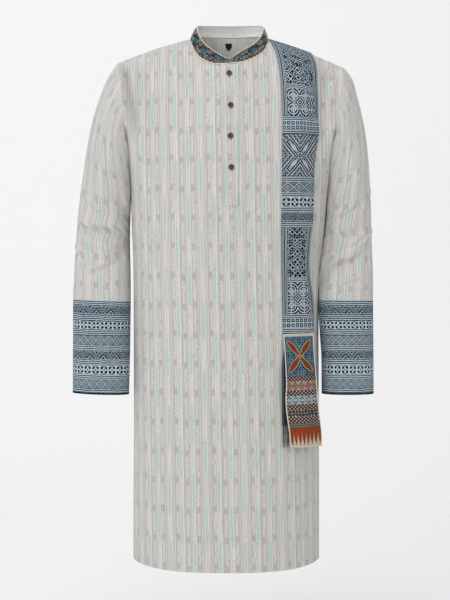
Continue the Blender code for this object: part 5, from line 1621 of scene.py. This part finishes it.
def cuff_cloth():
    m = Paint("wax_print_cuff", 0.86, 0.0, 0.12)
    x, y = m.plane(scale=1 / PX)
    across, down = wobble(x, y)
    wax_print(m, batik_cuff(x + across * 0.9, y + down * 1.0), x, y)
    return m.mat


def strip_cloth():
    m = Paint("wax_print_strip", 0.86, 0.0, 0.12)
    x, t = m.plane()
    w = m.plane("across")[0]
    across, down = wobble(x, t)
    ink, pink = batik_strip(x + across * 0.8, w - across * 0.8, t + down * 0.9)
    wax_print(m, ink, x, t, pink, dark=(16, 26, 42), mid=(32, 56, 82), pale=(206, 212, 216))
    return m.mat


def under_cloth():
    m = Paint("under_strip_painted_shade", 0.88, 0.0, 0.1)
    x, t = m.plane()
    ink = line(tri(x + t, 1.9), 0.7) * line(size(x - 1.2), 1.4, 0.2)
    ink = most(ink * 0.7, maze(x, t, 2.2) * 0.15)
    # painted shade: the indigo print made much darker than the strip's own, for the under-layer that hangs in
    # the shadow of the end panel
    wax_print(m, ink, x, t, dark=(12, 15, 22), mid=(22, 27, 36), pale=(150, 158, 168))
    return m.mat


def end_cloth():
    """Printed and stitched end of the strip: x from 0 to 1 across, t down it."""
    m = Paint("strip_end", 0.82, 0.03, 0.15)
    u, t0 = m.plane()
    px = u * 32.0
    wob = noise(px, t0, 0.2, 1.0) - 0.5
    x, t = (u - 0.5) * 31.0 + wob * 0.7, t0 + (noise(px + 30.0, t0, 0.22, 1.0) - 0.5) * 0.8
    a, b = size(x), size(t - 356.3)
    fine = noise(px, t0, 1.2, 2.0, 0.6)
    cloud = noise(px, t0, 0.14, 2.0)
    c = m.mix(smooth(cloud, 0.36, 0.64), (18, 54, 80), (36, 88, 116))
    # fine pale contour lines about the cross
    far = leaf(a, b, 2.6, 3.4, 11.6, 15.4, 1.75)
    far = least(far, most(size(a * 0.8 - b * 0.6) - 0.75, a + b - 8.0))
    waves = line(tri(far + 0.5, 2.3), 0.50, 0.2) * smooth(far, 2.2, 2.7)
    waves = waves * line(tri(a * 0.8 - b * 0.6, 1.9), 1.1, 0.3)
    bits = line(long(tri(x + wob, 2.6), tri(t, 2.6)), 0.9) * smooth(far, 2.4, 3.0)
    c = m.mix(most(waves * 0.7, bits * 0.8), c, (168, 192, 198))
    c = m.mix(line(size(far - 1.25), 1.5, 0.2), c, (132, 126, 96))
    ticks = line(tri((a + b) * 0.9, 1.15), 0.5) * line(size(far - 1.3), 1.3, 0.2)
    c = m.mix(ticks, c, (176, 168, 132))
    rust = m.mix(smooth(fine, 0.35, 0.65), (118, 46, 26), (160, 68, 38))
    c = m.mix(line(far, 0.9, 0.25), c, rust)
    c = m.mix(line(size(a + b - 1.9), 0.7), c, (206, 208, 206))
    c = m.mix(line(a + b, 2.2), c, (34, 66, 104))
    # maroon bands of small squares
    tile = 1.0 - checker(x + 40.0, t, 1.75)
    spots = m.mix(tile, (30, 26, 44), (104, 36, 26))
    pips = line(long(tri(x + 40.0, 3.5), tri(t + 0.2, 3.5)), 1.3, 0.25)
    pips = most(pips, line(long(tri(x + 41.75, 3.5), tri(t + 1.95, 3.5)), 1.3, 0.25))
    spots = m.mix(pips, spots, (206, 198, 188))
    c = m.mix(band(t, 376.0, 429.0), c, spots)
    # orange lozenges
    la, lb = tri(x, 6.2), size(t - 386.2)
    loz = m.mix(line(size(la * 1.3 + lb - 3.4), 2.0, 0.2), (160, 160, 154), (158, 82, 36))
    loz = m.mix(line(la + lb, 2.4, 0.3), loz, (44, 72, 96))
    c = m.mix(band(t, 381.8, 390.6), c, loz)
    # pale band with dark petals and yellow hearts
    fa, fb = tri(x + 3.1, 6.2), size(t - 400.6)
    petal = line(size(fa - fb), 1.25, 0.2) * smooth(fa + fb, 1.5, 2.0)
    flo = m.mix(petal, (166, 184, 190), (38, 50, 70))
    flo = m.mix(line(fa + fb, 2.3, 0.3), flo, (190, 180, 122))
    c = m.mix(band(t, 396.4, 404.8), c, flo)
    # olive and blue dotted bands
    dots = line(long(tri(x + noise(t, x, 0.4) * 3.0, 3.0), tri(t, 3.0)), 1.5, 0.2)
    olive = m.mix(smooth(noise(px, t0, 0.3, 1.0), 0.4, 0.6), (66, 62, 42), (46, 54, 66))
    olive = m.mix(dots, olive, (176, 178, 172))
    c = m.mix(band(t, 410.8, 417.6), c, olive)
    rule = line(tri(t - 425.2, 2.1), 0.8)
    c = m.mix(band(t, 423.8, 428.8), c, m.mix(rule, (80, 88, 90), (138, 132, 94)))
    # stitched teeth
    teeth_top, teeth_long = 428.8, 17.5
    th = tri(x + 15.5 - 1.95, 3.9)
    reach = (t - teeth_top) / teeth_long
    tooth = smooth(th - (1.0 - calc("POWER", most(reach, 0.0), 2.6)) * 2.0, 0.14, -0.14)
    silk = noise(px * 2.6, t0 * 0.18, 1.3, 2.0, 0.6)
    teeth = m.mix(smooth(silk, 0.36, 0.66), (128, 48, 16), (178, 76, 28))
    foot = calc("GREATER_THAN", t, teeth_top)
    c = m.mix(foot, c, m.mix(tooth, (206, 194, 176), teeth))
    # plain cream border
    lip = most(smooth(size(u - 0.5), 0.474, 0.484), most(smooth(t0, 336.8, 336.0), smooth(t0, 447.0, 447.6)))
    c = m.mix(lip, c, (206, 202, 192))
    m.colour(m.shade(c, fine * 0.24 + 0.64))
    sewn = tooth * foot
    weave = threads(px * 2.0, t0 * 2.0) * (1.0 - sewn) * 0.5
    m.bump(weave + sewn * 2.5 + silk * sewn * 2.0 + fine, 0.4, 0.0003)
    return m.mat


def collar_ground():
    """Stitched ground of the collar, cream at both edges; x up the band, y along it."""
    m = Paint("collar_ground", 0.8, 0.04, 0.2)
    x, y = m.plane(scale=1000.0)
    fine = noise(x, y, 1.1, 2.0, 0.65)
    grain = noise(x, y * 0.4, 2.6, 1.0)
    c = m.mix(smooth(fine, 0.38, 0.62), (24, 21, 20), (48, 42, 40))
    c = m.mix(smooth(grain, 0.62, 0.70), c, (100, 92, 86))
    low = smooth(x + (noise(0.0, y, 0.35, 1.0) - 0.5) * 2.6, 1.15, 0.6)
    c = m.mix(low, c, (214, 205, 190))
    m.colour(c)
    m.bump(fine * 1.5 + grain, 0.6, 0.0004)
    return m.mat


def yarn(name, one, two, twist, sheen=0.25):
    """Twisted thread: x round it, y along it."""
    m = Paint(name, 0.7, sheen, 0.3)
    x, y = m.plane(scale=1000.0)
    ply = calc("SINE", (x * 0.62 + y / twist) * (2 * math.pi))
    fine = noise(x, y, 1.6, 2.0, 0.6)
    c = m.mix(smooth(ply + (fine - 0.5) * 1.6, -0.9, 0.9), one, two)
    m.colour(c)
    m.bump(ply + fine, 0.5, 0.0002)
    return m.mat


def satin(name, one, two):
    m = Paint(name, 0.5, 0.0, 0.3)
    x, y = m.plane(scale=1000.0)
    lay = calc("SINE", (y + x * 0.12) * (2 * math.pi / 0.62))
    fine = noise(x * 0.35, y, 1.5, 2.0, 0.6)
    c = m.mix(smooth(lay * 0.4 + fine, 0.1, 0.9), one, two)
    m.colour(c)
    m.bump(lay + fine, 0.5, 0.00022)
    return m.mat


def button_look():
    m = Paint("horn_button", 0.34, 0.0, 0.5)
    x, y = m.plane(scale=1000.0)
    grain = noise(x * 0.5 + y * 0.1, y * 1.6, 0.9, 4.0, 0.65)
    c = m.mix(smooth(grain, 0.34, 0.68), (30, 21, 16), (74, 52, 36))
    m.colour(c)
    m.rough(grain * 0.3 + 0.25)
    m.bump(grain, 0.15, 0.0002)
    m.set("Coat Weight", 0.25)
    m.set("Coat Roughness", 0.3)
    return m.mat


def tab_look():
    m = Paint("woven_tab", 0.6, 0.1, 0.3)
    x, y = m.plane(scale=1000.0)
    w = threads(x, y, 0.5)
    fine = noise(x, y, 1.5, 2.0)
    m.colour(m.mix(smooth(w * 0.3 + fine, 0.2, 0.9), (16, 16, 17), (38, 37, 36)))
    m.bump(w, 0.4, 0.00015)
    return m.mat


# ----------------------------------------------------------------- the garment
def place(piece, slot, *nodes):
    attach(piece, "root")
    if nodes:
        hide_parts(*nodes)
    return piece


# the second copy, for the inner faces, is the cloth with painted light
COTTON = [main_cloth(), main_cloth("handloom_cotton_inside_painted_light", True)]
CREAM = [yarn("cream_cord", (206, 198, 180), (238, 232, 218), 1.4)]
SCROLL = [yarn("scroll_cord", (82, 76, 73), (196, 188, 180), 0.9, sheen=0.05)]
LEAF = [yarn("dark_leaf_cord", (32, 28, 28), (78, 71, 68), 0.9, sheen=0.05)]
BLUE = [satin("blue_satin", (10, 60, 84), (26, 98, 124))]
THREAD = [yarn("sewing_thread", (158, 150, 144), (214, 207, 198), 0.5)]
INDIGO = [cuff_cloth()]


for piece, node in body_pieces(COTTON):
    place(piece, "cloth", node)
sleeve_rows = np.concatenate([np.linspace(0, 6.0, 52, endpoint=False),
                              np.linspace(6.0, 10.3, 78, endpoint=False), np.linspace(10.3, CUFF_ROW, 8)])
cuff_rows = np.linspace(CUFF_ROW, LAST_ROW, 44)
for side in SIDES:
    name = "sleeve_" + side
    tube = tube_shell(name + "_cloth", side, sleeve_rows, COTTON, CLOTH, 110, is_cuff=False)
    place(tube, "cloth", name)
    name = "cuff_" + side
    tube = tube_shell(name + "_cloth", side, cuff_rows, INDIGO, CUFF_WALL, 96, is_cuff=True)
    place(tube, "indigo", name)

collar_band, piping = collar_pieces([collar_ground(), COTTON[1]], CREAM)
place(collar_band, "collar", "collar")
place(piping, "cream", "collar_piping")
place(rope(scroll_paths(), 0.00092, 6, "collar_scroll_cords", SCROLL), "collar", "collar")
place(rope(leaf_paths(), 0.00105, 5, "collar_edge_leaves", LEAF, taper=lambda f: 1.0 - 0.55 * f),
      "collar", "collar")
place(patch_piece(BLUE), "collar", "collar")
place(lower_edge_piece(CREAM), "cream", "collar")
over, under = placket_pieces(COTTON)
place(over, "cloth", "placket_over")
place(under, "cloth", "placket_under")
# near-black yarn as painted shade inside the button holes
HOLE_SHADE = [yarn("button_hole_dark", (12, 9, 8), (26, 20, 16), 1.0)]
TIE = [yarn("button_thread", (70, 52, 40), (118, 92, 70), 0.5)]
for number, parts in enumerate(button_pieces([button_look()], TIE, HOLE_SHADE), 1):
    for piece in parts:
        place(piece, "button", "button_%d" % number)
place(buttonholes(THREAD), "cloth", "placket_over")
for piece, node in stitch_pieces(THREAD):
    place(piece, "cloth", node)
strip_mesh = place(strip_piece([strip_cloth()]), "indigo", "stole_front")
end_panel, under_strip, end_edges = end_pieces([end_cloth()], [under_cloth()], CREAM)
place(end_panel, "rust", "stole_end")
place(end_edges, "cream", "stole_end")
place(under_strip, "deep", "stole_under")
# dark navy yarn, made darker still as painted shade where the locks hang in the shadow of the end panel
FRINGE = [yarn("fringe_yarn_and_shade", (12, 15, 21), (36, 42, 54), 1.6)]
place(fringe_piece(FRINGE), "deep", "stole_fringe")
place(tab_piece([tab_look()]), "black", "neck_label")


# ----------------------------------------------------------------- floor, light and camera
def floor_look():
    m = Paint("pale_floor", 0.9, 0.0, 0.1)
    x, y = m.plane()
    m.colour(m.mix(noise(x, y, 0.7, 2.0), (247, 247, 247), (249, 249, 249)))
    return m.mat


FLOOR_Z = -1.30
FLOOR_FRONT, FLOOR_BACK, FLOOR_TOP, FLOOR_BEND, FLOOR_HALF = -4.5, 1.6, 4.5, 1.2, 6.0
WORLD_LIGHT = 0.72
# lamps: name, place, point it faces, width, power
LAMPS = [("key", (-2.8, -2.9, 1.6), (0.0, 0.0, -0.5), 2.4, 44.0),
         ("fill", (-1.2, -3.7, -0.2), (0.0, 0.0, -0.6), 3.4, 21.0),
         ("top", (0.1, -1.3, 3.0), (0.0, 0.1, -0.3), 2.6, 30.0)]
CAMERA_DEPTH = 2.7                      # from the camera to the upright plane through the garment
CAMERA_X, CAMERA_Z = -0.0083, -0.436
PIXEL = 0.00207                         # width in that plane of one pixel of a picture 600 high
CAMERA_DOWN = 50.0                      # how far below the camera it looks, in those pixels


def floor_piece():
    """Floor that bends up into a wall behind the garment."""
    prof = [(FLOOR_FRONT, FLOOR_Z), (FLOOR_BACK, FLOOR_Z)]
    for a in np.linspace(0.1, math.pi / 2, 14):
        prof.append((FLOOR_BACK + FLOOR_BEND * math.sin(a), FLOOR_Z + FLOOR_BEND * (1 - math.cos(a))))
    prof.append((FLOOR_BACK + FLOOR_BEND, FLOOR_TOP))
    xs = np.linspace(-FLOOR_HALF, FLOOR_HALF, 9)
    n = len(xs)
    verts = [(x, y, z) for y, z in prof for x in xs]
    faces = [(v, v + 1, v + n + 1, v + n) for v in range(len(verts) - n) if v % n < n - 1]
    uvs = [(verts[v][0], verts[v][1] + verts[v][2]) for f in faces for v in f]
    return make("studio_floor", verts, faces, uvs, mats=[floor_look()], crisp=60)


def studio():
    scene = bpy.context.scene
    floor_piece()
    scene.world = bpy.data.worlds.new("studio_world")
    scene.world.use_nodes = True
    back = scene.world.node_tree.nodes["Background"]
    back.inputs[0].default_value = (1.0, 1.0, 1.0, 1.0)
    back.inputs[1].default_value = WORLD_LIGHT
    for name, spot, aim, wide, power in LAMPS:
        lamp = bpy.data.lights.new(name, "AREA")
        lamp.shape, lamp.size, lamp.energy = "SQUARE", wide, power
        obj = add_object(name, lamp)
        obj.location = spot
        d = np.array(aim) - np.array(spot)
        obj.rotation_euler = (math.acos(-d[2] / np.linalg.norm(d)), 0.0, math.atan2(d[1], d[0]) - math.pi / 2)
    cam = bpy.data.cameras.new("camera")
    cam.sensor_fit, cam.sensor_height = "VERTICAL", 24.0
    cam.lens = cam.sensor_height * math.hypot(CAMERA_DEPTH / PIXEL, CAMERA_DOWN) / 600.0
    cam.clip_end = 60.0
    obj = add_object("camera", cam)
    obj.location = (CAMERA_X, -CAMERA_DEPTH, CAMERA_Z)
    obj.rotation_euler = (math.pi / 2 - math.atan2(CAMERA_DOWN * PIXEL, CAMERA_DEPTH), 0.0, 0.0)
    scene.camera = obj
    scene.view_settings.view_transform = "Standard"


studio()
bpy.context.view_layer.update()
